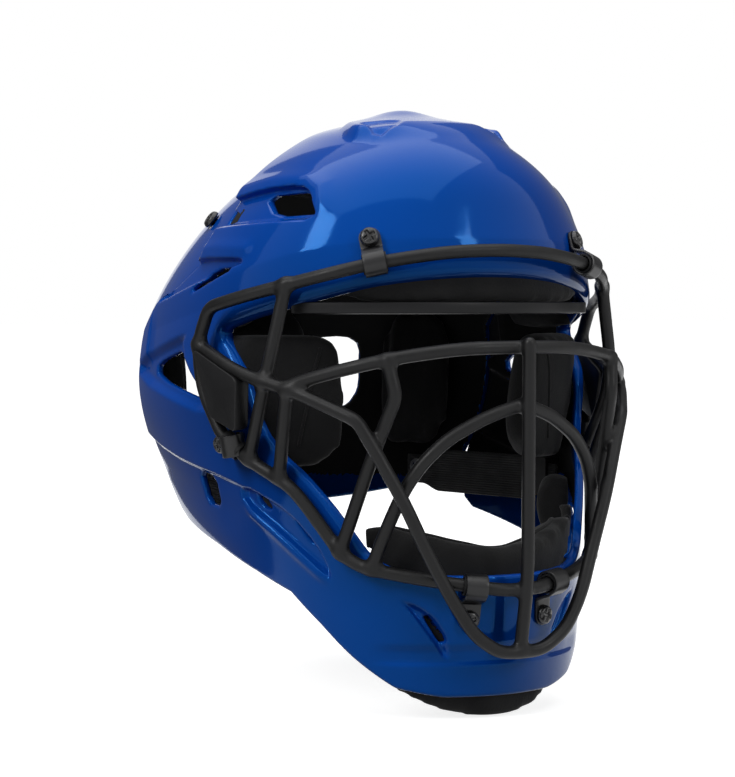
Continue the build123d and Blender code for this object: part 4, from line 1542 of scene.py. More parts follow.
@dataclass
class FaceGuard:
    """Welded wire guard: round wires on rounded routes, run together where they are welded."""

    wire: float = 6.2
    bend: float = 11.0
    bend_share: float = 0.45
    bend_points: int = 7
    sharp_turn: float = math.pi / 5
    fillet: float = 1.5
    far: float = 50.0
    reach: float = 3.5
    step: float = 1.0
    triangles: int = 190000
    low: Triple = (0.0, -152.0, -122.0)
    high: Triple = (116.0, -22.0, 75.0)
    routes: tuple[tuple[Triple, ...], ...] = (
        ((99.6, -48.1, -22.9), (103.0, -43.0, -17.9), (107.0, -31.0, 2.7), (108.7, -30.0, 23.9),
         (107.5, -39.5, 40.7), (101.0, -57.0, 45.2), (87.6, -78.2, 50.9), (74.4, -95.5, 55.9),
         (59.9, -106.2, 60.1), (44.9, -114.4, 63.0), (25.7, -120.2, 65.7), (0.0, -122.8, 66.8)),
        ((99.6, -48.1, -22.9), (95.4, -54.5, -29.1), (84.2, -75.5, -41.0), (79.5, -81.5, -49.1),
         (74.0, -89.0, -60.6), (69.0, -96.0, -71.0), (63.1, -103.5, -76.2), (53.0, -113.5, -79.0),
         (37.0, -126.0, -82.3), (10.7, -138.2, -86.2), (0.0, -139.0, -86.6)),
        ((86.9, -70.0, -36.4), (90.7, -82.5, -6.0), (91.2, -85.5, 5.3), (79.9, -102.0, 11.0),
         (60.0, -123.5, 18.0), (30.0, -137.0, 22.5), (0.0, -140.0, 22.9)),
        ((108.5, -29.5, 23.4), (103.0, -62.0, 10.0), (90.0, -90.0, 3.1), (72.0, -115.5, -9.5),
         (64.0, -121.0, -26.0), (54.8, -127.5, -46.0), (44.9, -131.2, -68.9), (34.5, -136.5, -90.8),
         (24.5, -138.5, -106.1), (11.8, -138.8, -114.3), (0.0, -139.0, -115.0)),
        ((0.0, -145.0, 24.5), (0.0, -144.0, -82.0), (0.0, -138.5, -112.3)),
        ((1.3, -140.0, -3.1), (17.0, -137.0, -8.1), (33.9, -131.2, -17.7), (44.2, -126.0, -28.6),
         (50.6, -121.0, -40.4), (54.6, -115.6, -53.9), (57.8, -111.0, -66.7), (60.0, -107.8, -76.7)),
        ((87.6, -77.8, 51.3), (96.8, -73.8, 5.1), (94.6, -55.0, -28.9)),
        ((60.6, -123.0, 17.0), (58.3, -126.2, 1.1), (63.3, -113.1, -27.0), (69.5, -95.5, -70.1)),
    )
    plate: tuple[Triple, ...] = ((108.5, -30.5, 21.9), (101.9, -62.5, 8.2), (99.0, -58.5, -16.0),
                                 (104.3, -40.2, -9.7))
    plate_thickness: float = 8.2
    plate_round: float = 0.12
    plate_edge: float = 0.35
    plate_layers: tuple[tuple[float, float], ...] = ((1.0, -1.0), (1.0, 0.5), (0.965, 1.0), (0.86, 1.0),
                                                     (0.86, 0.72), (0.8, 0.72))
    nodes: tuple[str, ...] = ("cage_brow_wire", "cage_jaw_wire", "cage_eye_bar", "cage_outer_bar",
                              "cage_centre_bar", "cage_lower_arc_l", "cage_lower_arc_r", "cage_temple_wire_l",
                              "cage_temple_wire_r", "cage_cheek_wire_l", "cage_cheek_wire_r")
    quick_step: float = 1.6

    def rounded(self, route: Sequence[Triple]) -> Array:
        """Points along a route whose corners are bent as a wire's are.

        Args:
            route: its corners.

        Returns:
            Rows of x, y, z.
        """
        points = [np.array(p, float) for p in route]
        if points[-1][0] == 0.0 and points[-2][0] > 0:
            points.append(points[-2] * (-1, 1, 1))
        path = [points[0]]
        for before, corner, after in zip(points, points[1:], points[2:]):
            way_in, way_out = corner - before, after - corner
            shorter = min(np.linalg.norm(way_in), np.linalg.norm(way_out))
            way_in, way_out = way_in / np.linalg.norm(way_in), way_out / np.linalg.norm(way_out)
            turn = math.acos(max(-1.0, min(1.0, float(way_in @ way_out))))
            largest = self.bend_share * shorter / max(math.tan(turn / 2), 1e-6)
            radius = min(largest, self.bend) if turn > self.sharp_turn else largest
            cut = radius * math.tan(turn / 2)
            start, end = corner - way_in * cut, corner + way_out * cut
            path += [curve_at(start, corner, end, t) for t in np.linspace(0, 1, self.bend_points)]
        path.append(points[-1])
        return np.array(path)

    def grid(self, step: float) -> Grid:
        """Field of every wire, with a fillet where two of them meet.

        Args:
            step: grid step.

        Returns:
            The field.
        """
        origin, shape = grid_axes(self.low, self.high, step)
        total = np.full(shape, self.far, np.float32)
        reach = self.wire / 2 + self.reach
        axes = [origin[a] + step * np.arange(shape[a]) for a in range(3)]
        for route in self.routes:
            path = self.rounded(route)
            single = np.full(shape, self.far, np.float32)
            for a, b in zip(path, path[1:]):
                first = [int(np.searchsorted(axes[n], min(a[n], b[n]) - reach)) for n in range(3)]
                last = [int(np.searchsorted(axes[n], max(a[n], b[n]) + reach)) for n in range(3)]
                if any(p >= q for p, q in zip(first, last)):
                    continue
                box = tuple(slice(p, q) for p, q in zip(first, last))
                gx, gy, gz = np.meshgrid(*(axes[n][box[n]] - a[n] for n in range(3)), indexing="ij")
                run = b - a
                t = np.clip((gx * run[0] + gy * run[1] + gz * run[2]) / max(run @ run, TINY), 0, 1)
                gap = np.sqrt((gx - run[0] * t) ** 2 + (gy - run[1] * t) ** 2 + (gz - run[2] * t) ** 2)
                single[box] = np.minimum(single[box], gap - self.wire / 2)
            total = -smooth_max(-total, -single, self.fillet * 2)
        return Grid(np.clip(total, -3 * step, 3 * step), origin, step)

    def build_plate(self, side: int, letter: str, finish: Material) -> Object:
        """Moulded gusset between the rim wire and the outer bar.

        Args:
            side: 1 for the wearer's left, -1 for the right.
            letter: the side's letter.
            finish: its material.

        Returns:
            The gusset.
        """
        corners = np.array(self.plate) * (side, 1, 1)
        normal = np.cross(corners[1] - corners[0], corners[3] - corners[0])
        normal /= np.linalg.norm(normal)
        corners -= np.outer((corners - corners[0]) @ normal, normal)
        middle = corners.mean(0)
        rim = []
        for before, here, after in zip(np.roll(corners, 1, 0), corners, np.roll(corners, -1, 0)):
            a = here + (before - here) * self.plate_round
            b = here + (after - here) * self.plate_round
            rim += [curve_at(a, here, b, t) for t in np.linspace(0, 1, 5)]
        rim = np.array(rim)
        half = normal * self.plate_thickness / 2
        layers = [middle + (rim - middle) * size + half * level for size, level in self.plate_layers]
        floor = self.plate_layers[-1][1]
        vertices = np.concatenate(layers + [[middle + half * floor, middle - half]])
        number = len(rim)
        faces = loft_faces(len(layers), number)
        top, bottom = len(layers) * number, len(layers) * number + 1
        last = (len(layers) - 1) * number
        faces += [[last + k, last + (k + 1) % number, top] for k in range(number)]
        faces += [[(k + 1) % number, k, bottom] for k in range(number)]
        name = "guard_gusset_" + letter
        obj = linked(name, mesh_of(name, vertices, faces))
        fix_normals(obj)
        return dress(bevelled(obj, self.plate_edge), finish)

    def build(self, wire: Material, plate: Material) -> None:
        """Make the wires and the gussets.

        Args:
            wire: finish of the wires.
            plate: finish of the gussets.
        """
        step = self.step * 1.0
        guard = dress(field_piece("face_guard_wires", self.grid(step), self.triangles), wire)
        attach(guard, "front")
        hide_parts(*self.nodes)
        for side, letter in SIDES:
            gusset = self.build_plate(side, letter, plate)
            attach(gusset, "front")
            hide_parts("cage_side_plate_" + letter)


@dataclass(frozen=True)
class Cushion:
    """One padded piece, pressed out of its CAD solid."""

    node: str
    body: str
    fill: float = 0.8
    voxel: float = 4.0
    pressure: float = 3.0
    cap: float = 2.5


@dataclass(frozen=True)
class Seam:
    """Piped seam: a line in free space, the way it falls onto its cushion, and the piping's radius."""

    node: str
    line: tuple[Triple, ...]
    fall: Triple
    radius: float = 0.8
    samples: int = 90
    spokes: int = 9
    shortest: int = 8
    line_rounds: int = 6
    path_rounds: int = 3

    def lay(self, obj: Object) -> None:
        """Lay the piping on a cushion and make it part of the same mesh.

        Args:
            obj: the cushion.
        """
        mesh = obj.data
        tree = BVHTree.FromPolygons([v.co for v in mesh.vertices], [p.vertices for p in mesh.polygons])
        knots = np.array(self.line, float)
        at = np.linspace(0, len(knots) - 1, self.samples)
        line = np.stack([np.interp(at, np.arange(len(knots)), knots[:, a]) for a in range(3)], 1)
        line = eased(line, self.line_rounds)
        hits = [tree.ray_cast(Vector(point * MM), Vector(self.fall)) for point in line]
        path = np.array([np.array(hit[0]) / MM for hit in hits if hit[0] is not None])
        if len(path) < self.shortest:
            LOG.info("seam on %s finds no cushion", self.node)
            return
        path = eased(path, self.path_rounds)
        tangent = np.gradient(path, axis=0)
        tangent /= np.linalg.norm(tangent, axis=1)[:, None]
        up = -np.array(self.fall)
        rows = []
        for place, way in zip(path, tangent):
            out = up - way * (up @ way)
            out /= np.linalg.norm(out)
            beside = np.cross(way, out)
            rows.append([place + (out * math.sin(a) + beside * math.cos(a)) * self.radius
                         for a in np.linspace(0, 2 * math.pi, self.spokes, endpoint=False)])
        piping = swept(self.node + "_piping", rows)
        work = bmesh.new()
        work.from_mesh(mesh)
        work.from_mesh(piping.data)
        work.to_mesh(mesh)
        work.free()
        bpy.data.objects.remove(piping)


@dataclass
class Padding:
    """Every cushion of the helmet."""

    cushions: tuple[Cushion, ...] = (
        *(Cushion(node, "front") for node in (
            "forehead_pad", "front_crown_pad", "temple_pad_l", "temple_pad_r", "cheek_pad_l",
            "cheek_pad_r", "jaw_pad_l", "jaw_pad_r", "chin_pad")),
        Cushion("chin_cup", "front", fill=0.9, voxel=2.8),
        *(Cushion(node, "rear") for node in (
            "rear_crown_pad", "rear_pad", "rear_side_pad_l", "rear_side_pad_r")),
    )
    seams: tuple[Seam, ...] = (
        Seam("chin_pad", ((-62.0, -74.0, -20.0), (-52.0, -90.0, -30.0), (-36.0, -106.0, -40.0),
                          (-18.0, -114.5, -40.0), (0.0, -117.0, -40.0), (18.0, -114.5, -40.0),
                          (36.0, -106.0, -40.0), (52.0, -90.0, -30.0), (62.0, -74.0, -20.0)),
             (0.0, 0.0, -1.0), 1.2),
        *(Seam("cheek_pad_" + letter, ((63.0 * side, -140.0, 22.0), (66.0 * side, -140.0, 10.0),
                                       (68.0 * side, -140.0, -8.0), (70.0 * side, -140.0, -24.0)),
               (0.0, 1.0, 0.0)) for side, letter in SIDES),
        Seam("rear_pad", ((0.0, 0.0, 34.0), (0.0, 0.0, 0.0), (0.0, 0.0, -34.0)), (0.0, 1.0, 0.0)),
    )
    frames: int = 12
    even_rounds: int = 3
    even_share: float = 0.5
    tension: float = 25.0
    bending: float = 2.0
    clearance: float = 0.25

    def closed_copy(self, source: Object, cushion: Cushion) -> Object:
        """Even closed mesh of a CAD solid, drawn in a little.

        Args:
            source: the CAD solid.
            cushion: its settings.

        Returns:
            The cushion's first mesh.
        """
        obj = linked(cushion.node + "_knit", source.data.copy())
        fix_normals(obj)
        remesh = obj.modifiers.new("remesh", "REMESH")
        remesh.mode = "VOXEL"
        remesh.voxel_size = cushion.voxel * MM
        smooth = obj.modifiers.new("smooth", "LAPLACIANSMOOTH")
        smooth.iterations = self.even_rounds
        smooth.lambda_factor = self.even_share
        return applied(obj)

    def press(self, obj: Object, cushion: Cushion) -> None:
        """Swell a cushion with a short cloth run and keep each point near where it began.

        Args:
            obj: the cushion's mesh.
            cushion: its settings.
        """
        start = vertex_array(obj.data)
        cloth = obj.modifiers.new("cloth", "CLOTH")
        settings = cloth.settings
        settings.use_pressure = True
        settings.uniform_pressure_force = cushion.pressure
        settings.effector_weights.gravity = 0.0
        settings.tension_stiffness = self.tension
        settings.bending_stiffness = self.bending
        cloth.point_cache.frame_end = self.frames
        scene = bpy.context.scene
        for frame in range(1, self.frames + 1):
            scene.frame_set(frame)
        applied(obj)
        scene.frame_set(1)
        set_vertices(obj.data, start + capped(vertex_array(obj.data) - start, cushion.cap))

    @staticmethod
    def seat(obj: Object, shells: HelmetShells, inset: float) -> None:
        """Move the points that have swollen into the shell back inside its wall.

        Args:
            obj: the cushion.
            shells: the shells.
            inset: depth of the wall's inner side under the plain surface.
        """
        places = vertex_array(obj.data)
        value, slope = shells.base.read_both(places)
        over = np.maximum(value + inset, 0.0)
        set_vertices(obj.data, places - unit(slope) * over[:, None])

    def build(self, nodes: dict[str, Object], shells: HelmetShells,
              knit: Material) -> None:
        """Make every cushion.

        Args:
            nodes: CAD nodes by name.
            shells: the shells that the cushions lie against.
            knit: their fabric.
        """
        for cushion in self.cushions:
            obj = self.closed_copy(nodes[cushion.node], cushion)
            self.press(obj, cushion)
            divide = obj.modifiers.new("divide", "SUBSURF")
            divide.levels = divide.render_levels = 1
            applied(obj)
            inset = shells.wall + (shells.rear_inset if cushion.body == "rear" else 0.0)
            self.seat(obj, shells, inset + self.clearance)
            for seam in self.seams:
                if seam.node == cushion.node:
                    seam.lay(obj)
            obj.data.shade_smooth()
            dress(obj, knit)
            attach(obj, cushion.body)
            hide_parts(cushion.node)
            LOG.info("%s: %d faces", obj.name, len(obj.data.polygons))


@dataclass
class Fastening:
    """Clips that fold round the sleeved wires, the elastic straps and the screws."""

    wire: float = 6.2
    gap: float = 0.65
    sleeve: float = 0.8
    strip: float = 1.2
    width: float = 10.0
    seat: float = 0.9
    clip_edge: float = 0.3
    flat: tuple[float, float] = (1.75, 3.0)
    wrap: tuple[float, float] = (150.0, -105.0)
    across: int = 7
    head_radius: float = 4.5
    head_height: float = 2.8
    head_dome: float = 0.42
    rim_drop: float = 0.225
    shank_radius: float = 2.0
    recess: float = 1.3
    rings: int = 15
    spokes: int = 48
    clip_screw: tuple[float, float] = (1.6, 10.9)
    pivot_screw: tuple[float, float] = (-3.7, 15.2)

    def clip_profile(self, reach: float, rise: float) -> list[tuple[float, float]]:
        """Line of a clip from under the screw to round the wire.

        Args:
            reach: how far the wire lies from the screw along the shell.
            rise: how far it stands out.

        Returns:
            Distances from the screw along the shell and outwards.
        """
        radius = self.wire / 2 + self.gap + self.sleeve + self.strip / 2
        share, least = self.flat
        flat = max(reach - radius * share, least)
        profile = [(x, self.seat) for x in np.linspace(-self.width / 2, flat, 9)]
        arc = [(reach + radius * math.cos(a), rise + radius * math.sin(a))
               for a in np.radians(np.linspace(*self.wrap, 22))]
        (x0, z0), (x1, z1) = profile[-1], arc[0]
        for t in np.linspace(0, 1, 6)[1:-1]:
            ease = t * t * (3 - 2 * t)
            profile.append((x0 + (x1 - x0) * t, z0 + (z1 - z0) * ease))
        return profile + arc

    def build_clip(self, mount: Mount, side: int, letter: str,
                   finish: Material) -> Object:
        """Strap that folds round the wire and lies under the screw.

        Args:
            mount: where it goes.
            side: 1 for the wearer's left, -1 for the right.
            letter: the side's letter.
            finish: its material.

        Returns:
            The clip.
        """
        place, toward, across, out = mount.frame(side)
        away = np.array(mount.wire) * np.array((side, 1, 1), float) - place
        rows = []
        for x, z in self.clip_profile(away @ toward, away @ out):
            half = self.width / 2
            if x < 0:
                half = math.sqrt(max(half * half - x * x, 0.3))
            rows.append([place + toward * x + out * z + across * half * s
                         for s in np.linspace(-1, 1, self.across)])
        name = f"{mount.name}_clip_strap_{letter}"
        faces = loft_faces(len(rows), self.across, closed=False)
        obj = linked(name, mesh_of(name, np.concatenate(rows), faces))
        thick = obj.modifiers.new("thick", "SOLIDIFY")
        thick.thickness = self.strip * MM
        thick.offset = 0.0
        bevelled(obj, self.clip_edge)
        fix_normals(obj)
        obj.data.shade_smooth()
        return dress(obj, finish)

    def head_level(self, x: float, y: float, share: float) -> float:
        """Height of the screw head's top, with its cross recess.

        Args:
            x: first coordinate on the head.
            y: second coordinate.
            share: distance from the axis, as a share of the radius.

        Returns:
            The height.
        """
        dome = self.head_height * (1 - self.head_dome * share ** 4)
        dome -= self.rim_drop * smooth_step(0.86, 1.0, share) * self.head_height
        arm, end = min(abs(x), abs(y)), max(abs(x), abs(y))
        return float(dome - self.recess * (smooth_step(0.95, 0.55, arm) * smooth_step(3.1, 2.6, end)))

    def head_mesh(self, shank: float) -> Mesh:
        """Pan head with a cross recess, standing on the origin, looking along +Z, over a shank.

        Args:
            shank: length of the shank.

        Returns:
            The mesh.
        """
        rings, spokes = self.rings, self.spokes
        turns = np.linspace(0, 2 * math.pi, spokes, endpoint=False)
        vertices = []
        for r in (np.linspace(0.0, 1.0, rings) ** 0.8 * self.head_radius)[1:]:
            for x, y in ((r * math.cos(a), r * math.sin(a)) for a in turns):
                vertices.append((x, y, self.head_level(x, y, r / self.head_radius)))
        top = len(vertices)
        vertices.append((0.0, 0.0, self.head_height - self.recess))
        faces = [[(k + 1) % spokes, top, k] for k in range(spokes)]
        faces += [[a, d, c, b] for a, b, c, d in loft_faces(rings - 1, spokes)]
        rim = np.array(vertices[top - spokes:top])
        before, narrow = top - spokes, self.shank_radius / self.head_radius
        for share, level in ((1.0, 0.0), (narrow, 0.0), (narrow, -shank)):
            base = len(vertices)
            vertices += [(x * share, y * share, level) for x, y, _ in rim]
            faces += [[before + k, base + k, base + (k + 1) % spokes, before + (k + 1) % spokes]
                      for k in range(spokes)]
            before = base
        vertices.append((0.0, 0.0, -shank))
        faces += [[base + k, base + spokes, base + (k + 1) % spokes] for k in range(spokes)]
        return mesh_of("pan_head", np.array(vertices), faces)

    def build_screws(self, finish: Material) -> None:
        """Set the screws on their seats with Geometry Nodes, one piece for each CAD node.

        Args:
            finish: their material.
        """
        for mount in CLIP_MOUNTS + (PIVOT_MOUNT,):
            seat, shank = self.clip_screw if mount.wire else self.pivot_screw
            form = dress(linked("pan_head_form", self.head_mesh(shank)), finish)
            frames = [mount.frame(side) for side, _ in SIDES]
            spots = np.array([place + out * seat for place, _, _, out in frames])
            outs = np.array([out for _, _, _, out in frames])
            obj = set_on_points(mount.name + "_screw_pair", spots, outs, form, finish)
            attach(obj, "front")
            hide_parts(mount.name + "_screws")

    def build(self, materials: dict[str, Material]) -> None:
        """Make the clips, the elastic straps and the screws.

        Args:
            materials: materials by name.
        """
        for side, letter in SIDES:
            for mount in CLIP_MOUNTS:
                clip = self.build_clip(mount, side, letter, materials["clip_black"])
                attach(clip, "front")
                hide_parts(f"{mount.name}_clip_{letter}")
            ElasticStrap().build(side, letter, materials["elastic_weave"])
        self.build_screws(materials["screw_black"])


@dataclass(frozen=True)
class ElasticStrap:
    """Flat woven band from behind the side slot to the stud on the rear shell."""

    middle: Triple = (75.22, 13.13, -45.9)
    run: Triple = (-0.178, 0.984, 0.0)
    length: float = 112.6
    width: float = 22.4
    end_width: float = 15.2
    thickness: float = 1.7
    stations: int = 57
    spokes: int = 28
    neck: tuple[float, float] = (0.40, 0.28)

    def build(self, side: int, letter: str, weave: Material) -> None:
        """Make the strap on one side.

        Args:
            side: 1 for the wearer's left, -1 for the right.
            letter: the side's letter.
            weave: its webbing.
        """
        flip = np.array((side, 1, 1), float)
        middle, run = np.array(self.middle) * flip, np.array(self.run) * flip
        up = np.array((0.0, 0.0, 1.0))
        out = np.cross(run, up) * side
        half_wide, half_thick = self.width / 2, self.thickness / 2
        ring = [(half_wide * math.copysign(abs(math.cos(a)) ** 0.25, math.cos(a)),
                 half_thick * math.copysign(abs(math.sin(a)) ** 0.6, math.sin(a)))
                for a in np.linspace(0, 2 * math.pi, self.spokes, endpoint=False)]
        rows = []
        for t in np.linspace(-0.5, 0.5, self.stations):
            full = float(smooth_step(*self.neck, abs(t)))
            neck = (self.end_width + (self.width - self.end_width) * full) / self.width
            centre = middle + run * (self.length * t)
            rows.append([centre + up * (u * neck) + out * v for u, v in ring])
        obj = dress(swept("elastic_band_" + letter, rows), weave)
        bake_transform(obj)
        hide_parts("elastic_strap_" + letter)


@dataclass(frozen=True)
class BrowStrip:
    """Moulded strip under the brow, with a bead on its inner edge."""

    form: SkullForm
    level: float = 40.4
    inset: float = 4.1
    turn: float = 53.5
    centre: float = 9.0
    stations: int = 109
    section: tuple[tuple[float, float], ...] = (
        (-2.3, 0.0), (-2.6, 0.6), (-2.6, 6.6), (-2.9, 7.6), (-2.9, 9.9), (-2.3, 10.7), (-1.2, 10.7),
        (-0.6, 10.0), (-0.4, 8.9), (0.2, 8.2), (2.2, 7.6), (2.7, 6.9), (2.7, 0.6), (2.4, 0.0))

    def build(self, gloss: Material) -> None:
        """Make the strip.

        Args:
            gloss: its finish.
        """
        rows = []
        for k, turn in enumerate(np.linspace(-self.turn, self.turn, self.stations)):
            t = abs(2 * k / (self.stations - 1) - 1)
            fade = 1 - 0.5 * float(smooth_step(0.8, 1.0, t))
            place = self.form.point(self.level, turn, self.inset)
            inward = np.array((-place[0], self.centre - place[1], 0.0))
            inward /= np.linalg.norm(inward)
            rows.append([place + inward * (v * fade) + np.array((0.0, 0.0, u)) for u, v in self.section])
        obj = dress(swept("brow_strip_moulded", rows), gloss)
        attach(obj, "front")
        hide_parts("brow_strip")


def set_on_points(name: str, spots: Array, outs: Array, form: Object,
                  finish: Material) -> Object:
    """Repeat a form on points with Geometry Nodes and make the result a plain mesh.

    Args:
        name: name of the piece.
        spots: places in millimetres.
        outs: the way that the form's Z looks at each place.
        form: object to repeat; it is removed afterwards.
        finish: material of the result.

    Returns:
        The piece.
    """
    obj = linked(name, mesh_of(name, spots, []))
    way = obj.data.attributes.new("way", "FLOAT_VECTOR", "POINT")
    way.data.foreach_set("vector", outs.astype(float).ravel())
    modifier = obj.modifiers.new("spread", "NODES")
    modifier.node_group = instance_tree(name + "_spread", form, finish)
    applied(obj)
    bpy.data.objects.remove(form)
    return obj


def instance_tree(name: str, form: Object, finish: Material) -> NodeTree:
    """Geometry Nodes tree that sets a form on each point, turned to the point's "way".

    Args:
        name: name of the tree.
        form: object to repeat.
        finish: material of the result.

    Returns:
        The tree.
    """
    tree = bpy.data.node_groups.new(name, "GeometryNodeTree")
    tree.interface.new_socket("Geometry", in_out="INPUT", socket_type="NodeSocketGeometry")
    tree.interface.new_socket("Geometry", in_out="OUTPUT", socket_type="NodeSocketGeometry")
    entry = tree.nodes.new("NodeGroupInput")
    info = add_node(tree, "GeometryNodeObjectInfo", {"Object": form})
    way = tree.nodes.new("GeometryNodeInputNamedAttribute")
    way.data_type = "FLOAT_VECTOR"
    way.inputs["Name"].default_value = "way"
    turn = tree.nodes.new("FunctionNodeAlignRotationToVector")
    turn.axis = "Z"
    fill(tree, turn, {"Vector": way.outputs["Attribute"]})
    spread = add_node(tree, "GeometryNodeInstanceOnPoints", {
        "Points": entry.outputs["Geometry"], "Instance": info.outputs["Geometry"],
        "Rotation": turn.outputs["Rotation"]})
    real = add_node(tree, "GeometryNodeRealizeInstances", {"Geometry": spread.outputs["Instances"]})
    paint = add_node(tree, "GeometryNodeSetMaterial", {"Geometry": real.outputs["Geometry"],
                                                       "Material": finish})
    add_node(tree, "NodeGroupOutput", {"Geometry": paint.outputs["Geometry"]})
    return tree


@dataclass
class Studio:
    """Camera, soft light and a pale floor."""

    azimuth: float = -30.0
    elevation: float = 2.0
    distance: float = 1.2
    focal: float = 2400.0
    long_side: float = 777.0
    sensor: float = 36.0
    floor_size: float = 40.0
    pale: float = 0.6
    glow: float = 0.82
    glow_reach: float = 0.9
    card_height: float = 1.6
    card_lift: float = 0.004
    card_glow: float = 0.2
    bounce: float = 0.08
    ambient: float = 0.16
    sky: Triple = (0.9, 0.95, 1.0)
    lamps: tuple[tuple[str, Triple, tuple[float, float], float], ...] = (
        ("top_box", (-0.25, -0.3, 2.2), (3.0, 2.6), 42.0),
        ("left_box", (-1.9, -0.4, 1.3), (0.5, 0.9), 17.0),
        ("front_box", (0.75, -2.0, 1.0), (0.35, 0.7), 7.0),
    )

    def build_camera(self) -> None:
        """Camera at the photograph's angle."""
        data = bpy.data.cameras.new("camera")
        data.sensor_width = self.sensor
        data.lens = self.focal / self.long_side * self.sensor
        data.clip_start, data.clip_end = 0.05, 50.0
        obj = linked("camera", data)
        turn, lift = math.radians(self.azimuth), math.radians(self.elevation)
        back = Vector((math.sin(turn) * math.cos(lift), -math.cos(turn) * math.cos(lift), math.sin(lift)))
        obj.location = back * self.distance
        obj.rotation_euler = back.to_track_quat("Z", "Y").to_euler()
        bpy.context.scene.camera = obj

    def add_lamp(self, name: str, place: Triple, size: tuple[float, float], power: float) -> None:
        """Soft box that looks at the helmet.

        Args:
            name: its name.
            place: where it stands, in metres.
            size: its width and height.
            power: its power in watts.
        """
        data = bpy.data.lights.new(name, "AREA")
        data.shape = "RECTANGLE"
        data.size, data.size_y = size
        data.energy = power
        obj = linked(name, data)
        obj.location = place
        obj.rotation_euler = Vector(place).to_track_quat("Z", "Y").to_euler()

    @staticmethod
    def mixed(tree: NodeTree, unseen: Node, seen: Node) -> dict:
        """Output input that shows the camera one shader, also in a mirror, and other rays another.

        Args:
            tree: tree of the surface.
            unseen: shader for all other rays.
            seen: shader for the camera's rays.

        Returns:
            What the output node's inputs get.
        """
        path = tree.nodes.new("ShaderNodeLightPath").outputs
        shown = math_node(tree, "MAXIMUM", path["Is Camera Ray"], path["Is Glossy Ray"])
        shown = math_node(tree, "MAXIMUM", shown, path["Is Transmission Ray"])
        mix = add_node(tree, "ShaderNodeMixShader", {"Fac": shown, 1: unseen.outputs[0], 2: seen.outputs[0]})
        return {"Surface": mix.outputs[0]}

    @staticmethod
    def add_plane(name: str, corners: Sequence[Triple]) -> tuple[Object, NodeTree]:
        """Four-cornered plane with an empty material.

        Args:
            name: its name.
            corners: its corners in metres.

        Returns:
            The plane and its material's tree.
        """
        plane = linked(name, mesh_of(name, np.array(corners) / MM, [[0, 1, 2, 3]]))
        material = bpy.data.materials.new(name + "_surface")
        material.use_nodes = True
        material.node_tree.nodes.clear()
        dress(plane, material)
        return plane, material.node_tree

    def build_floor(self, level: float) -> None:
        """Floor that looks white, keeps the helmet's shadow and throws little light back.

        Args:
            level: its height in metres.
        """
        half = self.floor_size / 2
        floor, tree = self.add_plane("floor", [(x * half, y * half, level)
                                               for x, y in ((-1, -1), (1, -1), (1, 1), (-1, 1))])
        dim, pale = (add_node(tree, "ShaderNodeBsdfDiffuse", {"Color": (grey, grey, grey, 1)})
                     for grey in (self.bounce, self.pale))
        place = tree.nodes.new("ShaderNodeTexCoord")
        away = add_node(tree, "ShaderNodeVectorMath", {0: place.outputs["Object"]})
        away.operation = "LENGTH"
        spread = add_node(tree, "ShaderNodeMapRange", {
            "From Min": self.glow_reach / 3, "From Max": self.glow_reach, "To Min": self.glow,
            "To Max": 1.0, "Value": away.outputs["Value"]})
        glow = add_node(tree, "ShaderNodeEmission", {"Strength": spread.outputs["Result"]})
        both = add_node(tree, "ShaderNodeAddShader", {0: pale.outputs[0], 1: glow.outputs[0]})
        add_node(tree, "ShaderNodeOutputMaterial", self.mixed(tree, dim, both))
        floor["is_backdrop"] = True

    def build_world(self) -> None:
        """Dim surroundings that the camera sees as white."""
        world = bpy.data.worlds.new("studio")
        world.use_nodes = True
        tree = world.node_tree
        tree.nodes.clear()
        soft = add_node(tree, "ShaderNodeBackground", {"Color": (*self.sky, 1), "Strength": self.ambient})
        white = add_node(tree, "ShaderNodeBackground", {"Color": (1, 1, 1, 1), "Strength": 1.0})
        add_node(tree, "ShaderNodeOutputWorld", self.mixed(tree, soft, white))
        bpy.context.scene.world = world

    def add_card(self, name: str, corners: Sequence[Triple]) -> None:
        """Grey card beside the helmet that only reflections see.

        Args:
            name: its name.
            corners: its four corners, in metres.
        """
        card, tree = self.add_plane(name, corners)
        glow = add_node(tree, "ShaderNodeEmission", {"Strength": self.card_glow})
        add_node(tree, "ShaderNodeOutputMaterial", {"Surface": glow.outputs[0]})
        card.visible_camera = card.visible_diffuse = card.visible_transmission = card.visible_shadow = False
        card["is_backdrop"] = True

    def build(self, level: float) -> None:
        """Make the camera, the lights, the floor and the cards.

        Args:
            level: height of the floor in metres.
        """
        bpy.context.scene.view_settings.view_transform = "Standard"
        self.build_camera()
        self.build_world()
        self.build_floor(level)
        for lamp in self.lamps:
            self.add_lamp(*lamp)
        top, near = level + self.card_height, level + self.card_lift
        for name, (x0, y0), (x1, y1) in (("left_card", (-1.6, 0.7), (0.15, 1.2)),
                                         ("right_card", (0.9, 1.0), (1.3, -0.3))):
            self.add_card(name, ((x0, y0, level), (x1, y1, level), (x1, y1, top), (x0, y0, top)))
        self.add_card("low_card", [(x, y, near) for x, y in ((-1.6, -0.1), (-0.16, 0.08), (0.12, 1.2),
                                                             (-1.6, 0.7))])


def carry_over(nodes: dict[str, Object], record: dict,
               materials: dict[str, Material]) -> None:
    """Give every CAD node the material of its slot.

    Args:
        nodes: CAD nodes by name.
        record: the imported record.
        materials: materials by name.
    """
    by_slot = {finish.slot.value: materials[finish.name] for finish in FINISHES
               if finish.name != "liner_black"}
    slots = {row["node"]: row["material_slot"] for row in record["subparts"]}
    for name, obj in nodes.items():
        dress(obj, by_slot[slots[name]])


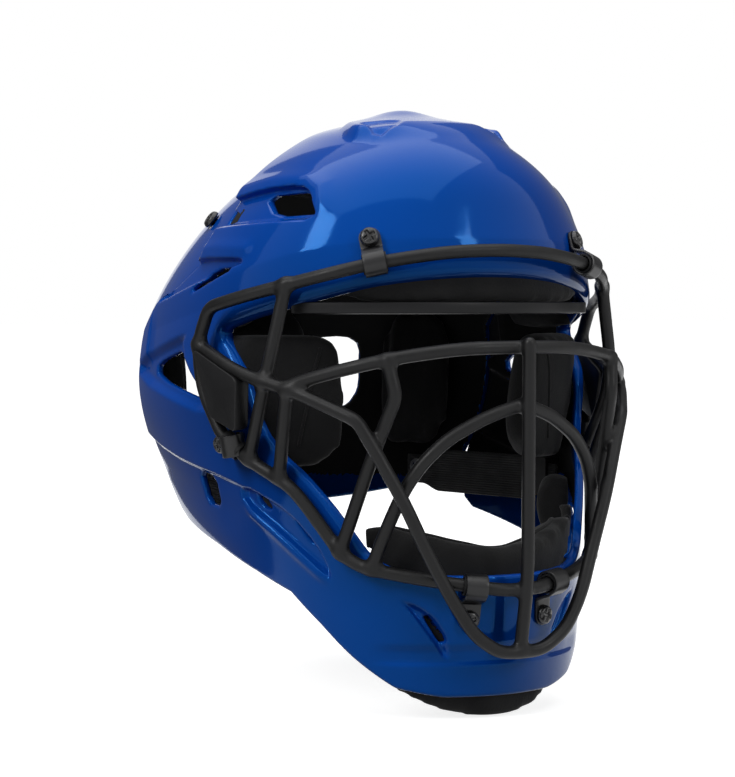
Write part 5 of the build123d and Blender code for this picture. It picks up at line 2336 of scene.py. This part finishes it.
def main() -> None:
    """Build the scene."""
    logging.basicConfig(level=logging.INFO, format="%(message)s")
    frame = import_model()
    cad_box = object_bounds()
    Studio().build(min(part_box(name)[0].z for name in frame["nodes"]))
    groups = {"grain": grain_group(), "knit": knit_group(), "ribs": rib_group()}
    materials = {finish.name: finish.build(groups) for finish in FINISHES}
    carry_over(frame["nodes"], frame["record"], materials)

    shells = HelmetShells(SkullForm())
    shells.prepare()
    shells.build(materials["shell_blue"], materials["liner_black"])
    BrowStrip(shells.form).build(materials["strip_gloss"])
    FaceGuard().build(materials["powder_black"], materials["plate_black"])
    Fastening().build(materials)
    Padding().build(frame["nodes"], shells, materials["pad_knit"])

    def plain(box: Sequence) -> list:
        """Box as lists of numbers."""
        return [[float(v) for v in corner] for corner in box]

    {"cad": plain(cad_box), "visual": plain(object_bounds())}


if __name__ == "__main__":
    main()
